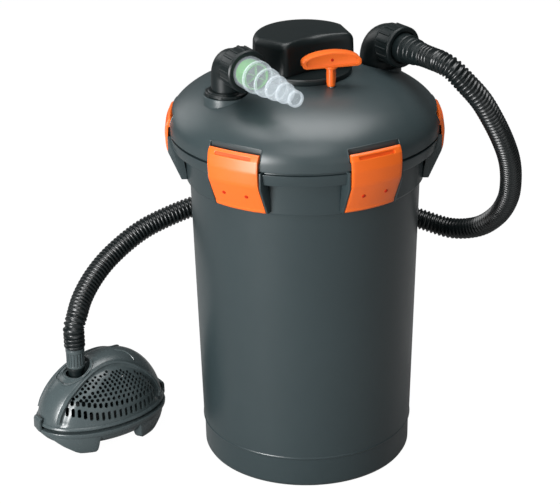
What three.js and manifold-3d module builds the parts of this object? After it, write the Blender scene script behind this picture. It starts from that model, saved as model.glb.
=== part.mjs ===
// Pressure filter for a garden pond: a tall canister with a domed lid held by six clips, a lamp head,
// a lift handle that squeezes the foam, two hose elbows, a ribbed hose and the pump at its far end.
// Millimetres, +Z up. The origin is the middle of the canister's underside; the lid's front is -Y.
import * as THREE from "three";
import { mergeVertices } from "three/addons/utils/BufferGeometryUtils.js";
import Module from "manifold-3d";

const wasm = await Module();
wasm.setup();

// ---------------------------------------------------------------- driving dimensions

// Running gaps
const seatGap = 0.3; // between two pieces that touch
const runGap = 0.5; // between a piece that moves and what guides it

// Canister tub
const bodyTopRadius = 159;
const bodyTaper = 11;
const baseRadius = bodyTopRadius - bodyTaper; // plinth
const footRadius = baseRadius - 5; // flat underside
const beadHeight = 45; // bead above the plinth
const beadRadius = baseRadius + 2.3;
const tubWall = 4.5;
const tubFloor = 6;
const rimHeight = 484.4; // top of the tub
const collarOverhang = 6;
const collarRadius = bodyTopRadius + collarOverhang;
const collarHeight = rimHeight - 63.9; // lower line of the collar
const bodyTopHeight = collarHeight - 2; // where the body meets the collar's underside
const bandDepth = 18.4;
const bandHeight = rimHeight - bandDepth; // lower edge of the band under the lid
const rimOverhang = 20.5;
const rimRadius = collarRadius + rimOverhang;
const bandRadius = rimRadius - 3;
const rimFlange = 4.4; // thickness of the rim's flange
const rimMouth = bodyTopRadius - 3; // radius of the tub's mouth and of its thick collar inside
const ledgeHeight = collarHeight - 16.5; // step that carries the upper plate

// Lid
const lidRadius = rimRadius + 0.5;
const lidBand = 11.6; // height of the lid's upright edge
const lidBandHeight = rimHeight + lidBand;
const lidRise = 69.5;
const lidApexHeight = lidBandHeight + lidRise; // where the dome would close
const lidWall = 4;
const seatRadius = 66.5; // flat round the lamp head
const lampBoreRadius = 50;
const sealInner = rimMouth + 4;
const sealWidth = 6;
const sealOuter = sealInner + sealWidth;
const sealDrop = 4.4; // how far the lid's seal reaches below the rim

// Clips
const clipCount = 6;
const clipWidth = 75;
const clipAxisRadius = collarRadius; // hinge pin of each clip
const clipDrop = 58.4; // from the rim down to the pin
const clipAxisHeight = rimHeight - clipDrop;
const clipBarrel = 4.5;
const trunnionRadius = 2.5;
const cheekThickness = 2.8;
const cheekSlack = 0.7; // gap on each side of a clip
const pocketDepth = 10;
const pocketRadius = lidRadius - pocketDepth; // flat back of the lid's clip pockets
const pocketRise = 22.5;
const pocketTop = lidBandHeight + pocketRise;
const hookDepth = 6; // how far the lid's hook stands out from the pocket's back

// Hose elbows
const elbowRadius = 119; // distance of each elbow from the lid's axis
const bossRadius = 31.5;
const bossRise = 56; // above the lid's edge
const bossHeight = lidBandHeight + bossRise;
const spigotRadius = 17.2;
const spigotWall = 2.6;
const outletFoot = bossHeight - 22; // underside of the outlet's spigot
const inletFoot = bossHeight - 46; // the inlet's reaches below the lid for its lock nut
const outletPipe = 20.3;
const outletAxis = bossHeight + 47;
const outletBend = 23;
const inletPipe = 26.5;
const inletAxis = bossHeight + 37;
const inletBend = 28;
const inletTurn = 6; // degrees between the inlet elbow and the lid's front
const nutRadius = 27.6;
const nutLength = 29;
const nutRibs = 8;
const nutRibHeight = 1.2;
const outletNutStart = 33; // distance from the elbow's upright axis
const inletNutStart = 25.5;
const flangeRadius = 24; // flange of a hose tail, held by its nut
const flangeLength = 4;
const tailWall = 2.2;
const clearTailSteps = [
  [21.6, 88],
  [19, 114],
  [16.2, 138],
  [13.4, 160],
  [10.6, 186],
]; // radius and end of each step of the clear hose tail
const blackTailSteps = [
  [20, 66],
  [17.8, 82],
  [15.6, 100],
]; // the same for the inlet's tail

// Lamp head
const headRadius = 70;
const headCornerX = 50;
const headCornerY = 36;
const headHollow = 8; // how far the front curves in
const headFlatX = 69;
const headFlatY = 11;
const seatHeight = domeHeight(seatRadius);
const headRing = 64.5;
const headRingTop = seatHeight + 7.8;
const headBottom = headRingTop + 4;
const headHeight = 42.5;
const headTop = headBottom + headHeight;
const headWall = 3;
const sleeveRadius = 18;
const sleeveLength = 262;
const sleeveBottom = seatHeight - sleeveLength;
const lampTube = 6;
const lampBottom = sleeveBottom + 25;
const glandRadius = 7.5;
const glandLength = 17;
const glandHeight = headBottom + 14;

// Lift handle and what it moves
const handleRadius = 71; // distance of the handle's stem from the lid's axis
const handleTurn = -17; // degrees the grip is turned about its stem
const handleHalf = 39.5;
const stemLength = 27.3; // from the lid's seat up to the grip
const handleBottom = seatHeight + stemLength;
const handleHeight = 20.5;
const handleTop = handleBottom + handleHeight;
const handleEnd = 8; // height of the grip's ends
const handleDepth = 16;
const stemRadius = 5.6;
const rodRadius = 4.5;
const plateHeight = 62; // underside of the cleaning plate
const plateThickness = 6;
const plateRadius = baseRadius - tubWall - 2.5;

// Inside the canister
const foamCount = 4;
const foamRadius = plateRadius - 0.5;
const foamGap = 0.5;
const tubeRadius = 30;
const tubeWall = 2.5;
const tubeFlange = 48;
const upperPlateThickness = 5;
const windowMargin = 56; // from the hub of a plate to its windows
const tubeSlots = [120, 280]; // foot of each pair of slots in the centre tube
const tubeSlotHeight = 70;

// Hose
const hoseRadius = 15;
const hoseValley = 12.9;
const hoseBore = 11.2;
const hoseRibs = 78;
const hoseSides = 8;
const hoseGrip = hoseBore * Math.cos(Math.PI / hoseSides) - seatGap; // radius of what the hose slips over
const boreStray = 1.2; // how far a chord of the bore may stray from its curve
const endBoreRing = 3;
const hoseStraight = 30; // length of the hose that runs straight at each end

// Pump
const pumpX = -254.2;
const pumpY = 168.7;
const pumpTurn = 4; // degrees of the pump's long axis from +X
const pumpHalfLength = 98;
const pumpHalfWidth = 64;
const pumpRim = 34; // underside of the rim
const pumpRimThickness = 6;
const pumpRimOverhang = 4;
const pumpTop = 128;
const pumpWall = 3;
const pumpLean = 18; // how far the top lies towards the far end
const neckOffset = -35.7; // outlet pipe along the long axis
const neckRadius = 11.3;
const socketRadius = 20;
const socketHeight = 101;
const ballRadius = 16.5;
const pumpHoseStart = 147;
const collarRibRadius = 12.8;
const motorRadius = 22;
const motorLength = 62;
const shaftHeight = 56;
const shaftRadius = 2;
const impellerRadius = 15;
const footHeight = 22;
const footInner = 30; // a foot's reach from the pump's long axis
const footOuter = 54;
const motorMiddle = 30;
const holeRows = [
  { height: 57, count: 5, pitch: 23, width: 10, length: 18 },
  { height: 84, count: 4, pitch: 21, width: 10, length: 14 },
]; // openings of the strainer, row by row

// Hose route between its straight ends, from the inlet's tail round the back to the pump, chosen by hand
const hoseRoute = [
  [136, -143, 583],
  [148, -152, 563],
  [166, -154, 537],
  [190, -150, 503],
  [216, -140, 466],
  [243, -124, 427],
  [270, -103, 384],
  [293, -74, 339],
  [303, -38, 298],
  [297, 2, 267],
  [277, 40, 255],
  [249, 74, 262],
  [214, 110, 275],
  [170, 150, 289],
  [118, 187, 298],
  [62, 217, 299],
  [8, 238, 294],
  [-45, 249, 287],
  [-91, 252, 278],
  [-135, 250, 267],
  [-175, 242, 252],
  [-210, 229, 237],
  [-240, 212, 221],
  [-264, 193, 205],
  [-281, 174, 190],
];

// Facets
const bigSides = 30; // tub and lid
const smallSides = 12;
const around = (radius) => radius / Math.cos(Math.PI / smallSides); // corner of a bore that clears a radius

// ---------------------------------------------------------------- materials

const finish = (color, roughness, extra = {}) => new THREE.MeshStandardMaterial({ color, roughness, ...extra });
const slate = finish(0x4b5556, 0.5);
const black = finish(0x191e20, 0.35);
const orange = finish(0xeb7832, 0.35);
const clear = finish(0xe8eff0, 0.1, { transparent: true, opacity: 0.5 });
const green = finish(0x6eaf50, 0.4);
const rubber = finish(0x151515, 0.8);
const foam = finish(0x2c4a7c, 0.95);
const white = finish(0xe6e6e2, 0.4);
const glass = finish(0xdfe9ee, 0.05, { transparent: true, opacity: 0.4 });
const steel = finish(0xb9bdc0, 0.3, { metalness: 1 });

// ---------------------------------------------------------------- solid modelling helpers

const radians = THREE.MathUtils.degToRad;
const fullTurn = Math.PI * 2;
const quarterTurn = Math.PI / 2;

// A closed geometry, facing either way, as a solid that faces out.
function solidOf(geometry) {
  const bare = geometry.index ? geometry.toNonIndexed() : geometry.clone();
  bare.deleteAttribute("normal");
  bare.deleteAttribute("uv");
  const merged = mergeVertices(bare, 1e-4);
  const place = merged.attributes.position.array;
  const corners = [];
  let volume = 0;
  for (let i = 0; i < merged.index.count; i += 3) {
    const [a, b, c] = [0, 1, 2].map((k) => merged.index.array[i + k]);
    if (a === b || b === c || c === a) continue;
    corners.push(a, b, c);
    const [p, q, r] = [a, b, c].map((k) => new THREE.Vector3().fromArray(place, 3 * k));
    volume += p.dot(q.cross(r));
  }
  const triVerts = new Uint32Array(volume < 0 ? corners.reverse() : corners);
  return new wasm.Manifold(new wasm.Mesh({ numProp: 3, vertProperties: place, triVerts }));
}

const join = (...solids) => solids.reduce((whole, piece) => whole.add(piece));
const cut = (solid, ...tools) => tools.reduce((left, tool) => left.subtract(tool), solid);

// A named mesh of a solid.
function piece(name, solid, material) {
  const { vertProperties, triVerts } = solid.getMesh();
  const geometry = new THREE.BufferGeometry();
  geometry.setAttribute("position", new THREE.BufferAttribute(new Float32Array(vertProperties), 3));
  geometry.setIndex(new THREE.BufferAttribute(new Uint32Array(triVerts), 1));
  const faceted = geometry.toNonIndexed();
  faceted.computeVertexNormals();
  const mesh = new THREE.Mesh(faceted, material);
  mesh.name = name;
  return mesh;
}

// A profile of [radius, height] points turned about Z. It starts and ends on the axis, or is closed here.
function turnedGeometry(profile, sides) {
  const closes = profile[0][0] > 0 || profile.at(-1)[0] > 0;
  const points = (closes ? [...profile, profile[0]] : profile).map(([r, z]) => new THREE.Vector2(r, z));
  return new THREE.LatheGeometry(points, sides).rotateX(quarterTurn);
}
const turned = (profile, sides = smallSides) => solidOf(turnedGeometry(profile, sides));
// The same about X, with [radius, x] points.
const turnedX = (profile, sides = smallSides) => solidOf(turnedGeometry(profile, sides).rotateY(quarterTurn));

const disc = (radius, z0, z1, sides = smallSides) =>
  turned([[0, z0], [radius, z0], [radius, z1], [0, z1]], sides);
const tube = (inner, outer, z0, z1, sides = smallSides) =>
  turned([[inner, z0], [outer, z0], [outer, z1], [inner, z1]], sides);

// A box from its lowest to its highest corner.
function block([x0, y0, z0], [x1, y1, z1]) {
  const box = new THREE.BoxGeometry(x1 - x0, y1 - y0, z1 - z0);
  return solidOf(box.translate((x0 + x1) / 2, (y0 + y1) / 2, (z0 + z1) / 2));
}

// An outline of [outward, up] points, extruded across X about the middle: outward is -Y.
function sideProfile(outline, width, middle = 0) {
  const shape = new THREE.Shape(outline.map(([out, up]) => new THREE.Vector2(out, up)));
  const geometry = new THREE.ExtrudeGeometry(shape, { depth: width, bevelEnabled: false });
  const axes = new THREE.Matrix4().makeBasis(
    new THREE.Vector3(0, -1, 0),
    new THREE.Vector3(0, 0, 1),
    new THREE.Vector3(-1, 0, 0),
  );
  return solidOf(geometry.applyMatrix4(axes).translate(middle + width / 2, 0, 0));
}

// A skin over rings of equal point counts. An open row of rings is capped, a looped one closes on itself.
function loft(rings, looped = false) {
  const count = rings[0].length;
  const rows = [...rings];
  if (looped) rows.push(rings[0]);
  else {
    const hub = (ring) => {
      const middle = ring.reduce((sum, p) => sum.add(p), new THREE.Vector3()).divideScalar(count);
      return Array(count).fill(middle);
    };
    rows.unshift(hub(rings[0]));
    rows.push(hub(rings.at(-1)));
  }
  const positions = [];
  for (let i = 0; i + 1 < rows.length; i++) {
    for (let j = 0; j < count; j++) {
      const k = (j + 1) % count;
      const [a, b, c, d] = [rows[i][j], rows[i][k], rows[i + 1][k], rows[i + 1][j]];
      for (const p of [a, b, c, a, c, d]) positions.push(p.x, p.y, p.z);
    }
  }
  const geometry = new THREE.BufferGeometry();
  geometry.setAttribute("position", new THREE.BufferAttribute(new Float32Array(positions), 3));
  return solidOf(geometry);
}

// A round ring about a centre, in the plane of two unit vectors.
function ringAt(centre, across, up, radius, sides = smallSides) {
  return Array.from({ length: sides }, (_, j) => {
    const angle = (fullTurn * j) / sides;
    return centre
      .clone()
      .addScaledVector(across, radius * Math.cos(angle))
      .addScaledVector(up, radius * Math.sin(angle));
  });
}

// ---------------------------------------------------------------- canister tub

// Outer radius of the tub's tapered body at a height.
const bodyRadius = (z) =>
  beadRadius - 0.5 + ((bodyTopRadius - beadRadius + 0.5) * (z - beadHeight)) / (bodyTopHeight - beadHeight);
const panelTopRadius = collarRadius + 2.5;
const bandWall = 3.5;

function tubEnvelope() {
  return [
    [0, 0],
    [footRadius, 0],
    [baseRadius, 5],
    [baseRadius + 0.4, beadHeight - 1.5],
    [beadRadius, beadHeight],
    [bodyRadius(beadHeight + 2), beadHeight + 2],
    [bodyTopRadius, bodyTopHeight],
    [collarRadius - 0.7, bodyTopHeight],
    [collarRadius, collarHeight],
    [panelTopRadius, rimHeight - rimFlange],
    [bandRadius - bandWall, rimHeight - rimFlange],
    [bandRadius - bandWall, bandHeight],
    [bandRadius, bandHeight],
    [rimRadius, rimHeight],
    [0, rimHeight],
  ];
}

function tubCavity() {
  const overTop = rimHeight + 5;
  return [
    [0, tubFloor],
    [baseRadius - tubWall, tubFloor],
    [bodyTopRadius - tubWall - 0.7, ledgeHeight],
    [rimMouth, ledgeHeight],
    [rimMouth, overTop],
    [0, overTop],
  ];
}

const cheekInner = clipWidth / 2 + cheekSlack;
const cheekOuter = cheekInner + cheekThickness;
const hingeFloor = clipAxisRadius - clipBarrel - runGap; // radius of the flat behind the hinge
const hingeBed = bodyTopHeight - 1; // a bay is open at its foot
const bandFlat = rimRadius - 8; // radius of the band's flat behind a clip
const clipFaceFoot = collarRadius + 5;
const cheekFoot = clipAxisHeight - 4;

function cheek(side) {
  const outline = [
    [hingeFloor - 3, cheekFoot],
    [collarRadius + 3.4, cheekFoot],
    [rimRadius, bandHeight - 4],
    [rimRadius, rimHeight],
    [clipFaceFoot, rimHeight],
    [hingeFloor - 1, cheekFoot + 10],
  ];
  return sideProfile(outline, cheekThickness, (side * (cheekInner + cheekOuter)) / 2);
}

// What one clip needs of the tub, facing -Y.
function clipBay() {
  const opening = [
    [hingeFloor, hingeBed],
    [bandFlat + 20, hingeBed],
    [bandFlat + 20, rimHeight + 1],
    [bandFlat, rimHeight + 1],
    [bandFlat, bandHeight - 8],
    [hingeFloor + 6.5, clipAxisHeight + 12],
    [hingeFloor, clipAxisHeight + 6],
  ];
  const reach = cheekOuter - 0.8;
  const radius = trunnionRadius + runGap;
  const bore = turnedX([[0, -reach], [radius, -reach], [radius, reach], [0, reach]], 8)
    .translate([0, -clipAxisRadius, clipAxisHeight]);
  return { opening: sideProfile(opening, 2 * cheekInner), bore };
}

function canisterTub() {
  const sealGroove = tube(sealInner - seatGap, sealOuter + seatGap, rimHeight - sealDrop - seatGap, rimHeight + 1, bigSides);
  let tub = cut(turned(tubEnvelope(), bigSides), turned(tubCavity(), bigSides));
  const bay = clipBay();
  const cheeks = join(cheek(-1), cheek(1));
  for (let i = 0; i < clipCount; i++) {
    const turn = (360 / clipCount) * i;
    const rotate = (solid) => solid.rotate([0, 0, turn]);
    tub = cut(tub.add(rotate(cheeks)), rotate(bay.opening), rotate(bay.bore));
  }
  return cut(tub, sealGroove);
}

// ---------------------------------------------------------------- lid

const lidFoot = rimHeight + 0.4;

// Height of the dome of a given shell at a radius: a quarter of a superellipse.
function domeHeight(radius, inset = 0) {
  const share = Math.min(1, radius / (lidRadius - inset));
  return lidBandHeight - inset / 2 + (lidApexHeight - lidBandHeight - inset / 2) * (1 - share ** 2.36) ** (1.91 / 4 + 0.045);
}


function domeProfile(inset, innermost) {
  const shares = [1, 0.98, 0.93, 0.84, 0.7, 0.52];
  const outer = lidRadius - inset;
  const points = shares.map((share) => [outer * share, domeHeight(outer * share, inset)]);
  return [...points, [innermost, domeHeight(innermost, inset)]];
}

function lidEnvelope() {
  return [[0, lidFoot], [lidRadius, lidFoot], ...domeProfile(0, seatRadius), [0, seatHeight]];
}

function lidCavity() {
  const flat = seatRadius - lidWall;
  const inside = domeProfile(lidWall, flat).map(([r, z]) => [Math.min(r, pocketRadius - lidWall), z]);
  return [
    [0, lidFoot - 1],
    [rimMouth, lidFoot - 1],
    [rimMouth, lidFoot + 6],
    [pocketRadius - lidWall, lidFoot + 14],
    ...inside.slice(2),
    [0, inside.at(-1)[1]],
  ];
}

const hookTop = lidFoot + 13.5; // top of the lid's hook at the pocket's back
const hookSlope = 0.38;

function clipPocket() {
  const outline = [
    [pocketRadius + hookDepth + 1, lidFoot - 1],
    [lidRadius + 5, lidFoot - 1],
    [lidRadius + 5, pocketTop],
    [pocketRadius, pocketTop],
    [pocketRadius, hookTop],
    [pocketRadius + hookDepth + 1, hookTop - hookSlope * (hookDepth + 1)],
  ];
  return sideProfile(outline, 2 * cheekInner + 1.6);
}

function elbowBoss(x) {
  const boss = turned([
    [0, bossHeight - 34],
    [spigotRadius + 8, bossHeight - 34],
    [spigotRadius + 8, bossHeight - 14],
    [bossRadius, bossHeight - 14],
    [bossRadius, bossHeight],
    [0, bossHeight],
  ], 16);
  return boss.translate([x, 0, 0]);
}

const counterRadius = 24; // flange of each elbow, in a counterbore
const counterDepth = 6;

function elbowBore(x) {
  const bore = turned([
    [0, bossHeight - 40],
    [around(spigotRadius + seatGap), bossHeight - 40],
    [around(spigotRadius + seatGap), bossHeight - counterDepth],
    [around(counterRadius + seatGap), bossHeight - counterDepth],
    [around(counterRadius + seatGap), bossHeight + 5],
    [0, bossHeight + 5],
  ]);
  return bore.translate([x, 0, 0]);
}

function lidDome() {
  let lid = cut(turned(lidEnvelope(), bigSides), turned(lidCavity(), bigSides));
  const pocket = clipPocket();
  for (let i = 0; i < clipCount; i++) lid = lid.subtract(pocket.rotate([0, 0, (360 / clipCount) * i]));
  lid = join(lid, elbowBoss(-elbowRadius), elbowBoss(elbowRadius));
  return cut(
    lid,
    elbowBore(-elbowRadius),
    elbowBore(elbowRadius),
    disc(bossRadius, bossHeight, lidApexHeight, 16).translate([-elbowRadius, 0, 0]),
    disc(bossRadius, bossHeight, lidApexHeight, 16).translate([elbowRadius, 0, 0]),
    disc(lampBoreRadius, lidFoot, lidApexHeight + 5, 20),
    disc(around(rodRadius + runGap), lidFoot, lidApexHeight + 5).translate([0, -handleRadius, 0]),
  );
}

function lidSeal() {
  return tube(sealInner, sealOuter, rimHeight - sealDrop, rimHeight + 0.1, bigSides);
}

// ---------------------------------------------------------------- clips

const clipThickness = 4;
const clipShoulder = rimRadius + 3.3; // the clip's outermost radius

// One clip facing -Y: a bowed plate with its barrel below and its hook above.
function clip() {
  const a = clipAxisRadius;
  const h = clipAxisHeight;
  const b = clipBarrel;
  const hook = hookTop - hookSlope * 2 + 0.9;
  const outline = [
    [a + 0.3 * b, h - 0.95 * b],
    [a + 0.9 * b, h - 0.45 * b],
    [a + b + 0.3, h + 1],
    [clipShoulder - 1.6, bandHeight - 1],
    [clipShoulder, rimHeight],
    [clipShoulder - 1.6, hookTop + 0.5],
    [clipShoulder - 4.2, hookTop + 6.5],
    [clipShoulder - 7.4, hookTop + 9.6],
    [pocketRadius + 2, hookTop + 5.5],
    [pocketRadius + 2, hook],
    [pocketRadius + 2 + hookDepth, hook - hookSlope * hookDepth],
    [clipShoulder - clipThickness, rimHeight],
    [clipShoulder - 1.6 - clipThickness, bandHeight],
    [a + 0.25 * b, h + 1.6 * b],
    [a - 0.45 * b, h + 0.9 * b],
    [a - b, h + 0.2 * b],
    [a - 0.85 * b, h - 0.53 * b],
    [a - 0.3 * b, h - 0.95 * b],
  ];
  const reach = cheekOuter - 1.2;
  const pin = turnedX([[0, -reach], [trunnionRadius, -reach], [trunnionRadius, reach], [0, reach]], 6);
  return join(sideProfile(outline, clipWidth), pin.translate([0, -a, h]));
}

// ---------------------------------------------------------------- elbows and what they carry

// A bent pipe from straight up to along +X, as rings of one radius.
function bendRings(radius, foot, axis, bend, mouth) {
  const across = new THREE.Vector3(0, 1, 0);
  const steps = 4;
  const rings = [ringAt(new THREE.Vector3(0, 0, foot), new THREE.Vector3(1, 0, 0), across, radius)];
  for (let i = 0; i <= steps; i++) {
    const angle = (quarterTurn * i) / steps;
    const centre = new THREE.Vector3(bend * (1 - Math.cos(angle)), 0, axis - bend + bend * Math.sin(angle));
    const normal = new THREE.Vector3(Math.cos(angle), 0, -Math.sin(angle));
    rings.push(ringAt(centre, normal, across, radius));
  }
  rings.push(ringAt(new THREE.Vector3(mouth, 0, axis), new THREE.Vector3(0, 0, -1), across, radius));
  return rings;
}

const sealFoot = bossHeight - 15; // O-ring groove of both elbows
const sealHeight = 4.2;
const sealGrooveRadius = spigotRadius - 1.6;

// An elbow in its own frame: its upright axis is Z, its mouth faces +X.
function elbow({ pipe, neck, axis, bend, mouth, skirtFoot, spigotFoot, flangeTop }) {
  const bore = spigotRadius - spigotWall;
  const flangeFoot = bossHeight - counterDepth + seatGap;
  const outside = join(
    loft(bendRings(pipe, skirtFoot, axis, bend, bend + 1)),
    turnedX([[0, bend - 3], [neck, bend - 3], [neck, mouth], [0, mouth]]).translate([0, 0, axis]),
    turned([
      [0, spigotFoot],
      [spigotRadius, spigotFoot],
      [spigotRadius, sealFoot],
      [sealGrooveRadius, sealFoot],
      [sealGrooveRadius, sealFoot + sealHeight],
      [spigotRadius, sealFoot + sealHeight],
      [spigotRadius, flangeFoot],
      [counterRadius, flangeFoot],
      [counterRadius, flangeTop],
      [0, flangeTop],
    ]),
  );
  return cut(outside, loft(bendRings(bore, spigotFoot - 1, axis, bend, mouth + 1)));
}

function elbowSeal() {
  return tube(sealGrooveRadius + 0.2, spigotRadius - 0.1, sealFoot + 0.3, sealFoot + sealHeight - 0.3);
}

// The grooved outline of a union nut, turned about X.
function unionNut(start, boreRadius) {
  const outline = [];
  for (let i = 0; i < nutRibs; i++) {
    for (const [share, height] of [[0.1, 0], [0.4, nutRibHeight], [0.7, nutRibHeight]]) {
      const angle = (fullTurn * (i + share)) / nutRibs;
      const radius = nutRadius + height;
      outline.push(new THREE.Vector2(radius * Math.cos(angle), radius * Math.sin(angle)));
    }
  }
  const depth = nutLength - 5;
  const ribbed = new THREE.ExtrudeGeometry(new THREE.Shape(outline), { depth, bevelEnabled: false });
  const body = solidOf(ribbed.rotateY(quarterTurn).translate(start, 0, 0));
  const front = turnedX([[0, start + depth - 0.5], [nutRadius, start + depth - 0.5],
    [nutRadius - 1.4, start + nutLength], [0, start + nutLength]], 20);
  const lip = start + nutLength - 4;
  const hollow = turnedX([
    [0, start - 1],
    [around(boreRadius), start - 1],
    [around(boreRadius), start + 4],
    [around(flangeRadius + seatGap), start + 4],
    [around(flangeRadius + seatGap), lip],
    [around(tailNeck + seatGap), lip],
    [around(tailNeck + seatGap), start + nutLength + 1],
    [0, start + nutLength + 1],
  ]);
  return cut(join(body, front), hollow);
}

const tailNeck = 21.8; // radius of a tail where its nut's lip goes round it
const gasketLength = 2.4;
const outletMouth = outletNutStart + nutLength - 4 - flangeLength - gasketLength - 3 * seatGap;
const inletMouth = inletNutStart + nutLength - 4 - flangeLength - gasketLength - 3 * seatGap;

// A stepped hose tail about X, from its flange at the elbow's mouth.
function hoseTail(start, steps, end, tipRadius) {
  const profile = [
    [flangeRadius, start],
    [flangeRadius, start + flangeLength],
    [steps[0][0], start + flangeLength],
  ];
  for (const [radius, stop] of steps) {
    if (radius !== steps[0][0]) profile.push([radius, profile.at(-1)[1]]);
    profile.push([radius - 0.5, stop]);
  }
  if (end > steps.at(-1)[1]) profile.push([tipRadius, steps.at(-1)[1]], [tipRadius, end]);
  const tip = profile.at(-1);
  const bore = [[tip[0] - tailWall, tip[1]]];
  if (end > steps.at(-1)[1]) bore.push([tip[0] - tailWall, steps.at(-1)[1] - 2]);
  for (const [radius, stop] of [...steps].reverse().slice(1)) bore.push([radius - tailWall - 0.5, stop - 2]);
  return turnedX([...profile, ...bore, [bore.at(-1)[0], start]]);
}

function gasket(start) {
  return turnedX([[spigotRadius, start], [flangeRadius - 0.6, start],
    [flangeRadius - 0.6, start + gasketLength], [spigotRadius, start + gasketLength]]);
}

// A ribbed sleeve inside the clear tail that shows the flow.
function flowIndicator(start, end) {
  const outer = clearTailSteps[0][0] - tailWall - 1.5;
  const profile = [[outer - 2.6, start], [outer, start]];
  const ribs = 2;
  const pitch = (end - start) / ribs;
  for (let i = 0; i < ribs; i++) {
    const x = start + pitch * i;
    profile.push([outer, x + pitch * 0.55], [outer - 1, x + pitch * 0.65]);
    if (i < ribs - 1) profile.push([outer - 1, x + pitch * 0.9], [outer, x + pitch]);
  }
  profile.push([outer - 1, end], [outer - 2.6, end]);
  return turnedX(profile);
}

function outletAssembly() {
  const group = new THREE.Group();
  group.position.x = -elbowRadius;
  group.rotation.z = -quarterTurn;
  const body = elbow({
    pipe: outletPipe - 0.05, neck: outletPipe, axis: outletAxis, bend: outletBend, mouth: outletMouth,
    skirtFoot: bossHeight - 1, spigotFoot: outletFoot, flangeTop: bossHeight - 0.6,
  });
  const tailStart = outletMouth + gasketLength + 2 * seatGap;
  const lastStep = clearTailSteps.at(-1);
  const ring = turned([
    [around(outletPipe + seatGap), bossHeight + seatGap],
    [28.8, bossHeight + seatGap],
    [28.8, bossHeight + 3.8],
    [24, bossHeight + 6.2],
    [around(outletPipe + seatGap), bossHeight + 6.2],
  ]);
  group.add(
    piece("outlet_elbow", body, black),
    piece("outlet_retaining_ring", ring, black),
    piece("outlet_seal", elbowSeal(), rubber),
    piece("outlet_gasket", gasket(outletMouth + seatGap).translate([0, 0, outletAxis]), rubber),
    piece("outlet_hose_tail", hoseTail(tailStart, clearTailSteps, lastStep[1]).translate([0, 0, outletAxis]), clear),
    piece("flow_indicator", flowIndicator(tailStart + 8, clearTailSteps[0][1] - 3).translate([0, 0, outletAxis]), green),
    piece("outlet_union_nut", unionNut(outletNutStart, outletPipe + seatGap).translate([0, 0, outletAxis]), black),
  );
  return group;
}

const inletHoseStart = blackTailSteps.at(-1)[1] + seatGap;

function inletAssembly() {
  const group = new THREE.Group();
  group.position.x = elbowRadius;
  group.rotation.z = radians(inletTurn) - quarterTurn;
  const body = elbow({
    pipe: inletPipe, neck: outletPipe, axis: inletAxis, bend: inletBend, mouth: inletMouth,
    skirtFoot: bossHeight + seatGap, spigotFoot: inletFoot, flangeTop: bossHeight + 1,
  });
  const nutFace = tube(outletPipe, nutRadius + 5, inletNutStart - seatGap, inletMouth + 5);
  const nutClear = nutFace.rotate([0, 90, 0]).translate([0, 0, inletAxis]);
  const tailStart = inletMouth + gasketLength + 2 * seatGap;
  const spigotEnd = inletHoseStart + 20;
  const lockNut = cut(
    disc(spigotRadius + 10, bossHeight - 42, bossHeight - 34 - seatGap, 8),
    disc(around(spigotRadius + seatGap), bossHeight - 43, bossHeight - 30),
  );
  group.add(
    piece("inlet_elbow", cut(body, nutClear), black),
    piece("inlet_lock_nut", lockNut, black),
    piece("inlet_seal", elbowSeal(), rubber),
    piece("inlet_gasket", gasket(inletMouth + seatGap).translate([0, 0, inletAxis]), rubber),
    piece("inlet_hose_tail",
      hoseTail(tailStart, blackTailSteps, spigotEnd, hoseGrip).translate([0, 0, inletAxis]), black),
    piece("inlet_union_nut", unionNut(inletNutStart, outletPipe + seatGap).translate([0, 0, inletAxis]), black),
  );
  return group;
}

// ---------------------------------------------------------------- lamp head

// The head's outline: a large arc behind, two short flats and a front that curves in.
function headOutline() {
  const points = [];
  const arcSteps = 12;
  const start = Math.atan2(headFlatY, headFlatX);
  for (let i = 0; i <= arcSteps; i++) {
    const angle = start + ((Math.PI - 2 * start) * i) / arcSteps;
    points.push([headRadius * Math.cos(angle), headRadius * Math.sin(angle)]);
  }
  const corner = 5;
  const frontSteps = 4;
  points.push([-headCornerX - 0.4 * corner, -headCornerY + corner]);
  points.push([-headCornerX + 0.4, -headCornerY + 0.6]);
  for (let i = 0; i <= frontSteps; i++) {
    const share = (2 * i) / frontSteps - 1;
    const x = share * (headCornerX - corner);
    points.push([x, -headCornerY + headHollow * (1 - share ** 2)]);
  }
  points.push([headCornerX - 0.4, -headCornerY + 0.6]);
  points.push([headCornerX + 0.4 * corner, -headCornerY + corner]);
  return points;
}

const headSection = (z, scale) => headOutline().map(([x, y]) => new THREE.Vector3(x * scale, y * scale, z));

function headCover() {
  const inner = 1 - headWall / headRadius;
  const outside = loft([
    headSection(headBottom, 1),
    headSection(headTop - 8, 0.985),
    headSection(headTop - 2, 0.95),
    headSection(headTop, 0.88),
  ]);
  const inside = loft([
    headSection(headBottom - 1, inner),
    headSection(headTop - headWall, inner - 0.04),
  ]);
  return cut(outside, inside);
}

const baseFoot = seatHeight + seatGap;
const headSpigot = lampBoreRadius * Math.cos(Math.PI / 20) - seatGap;
const headGroove = headSpigot - 2.2;
const headGrooveFoot = baseFoot - 9;
const headGrooveHeight = 3.6;
const neckInner = sleeveRadius + 3;
const sleeveLip = baseFoot - 12;

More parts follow.
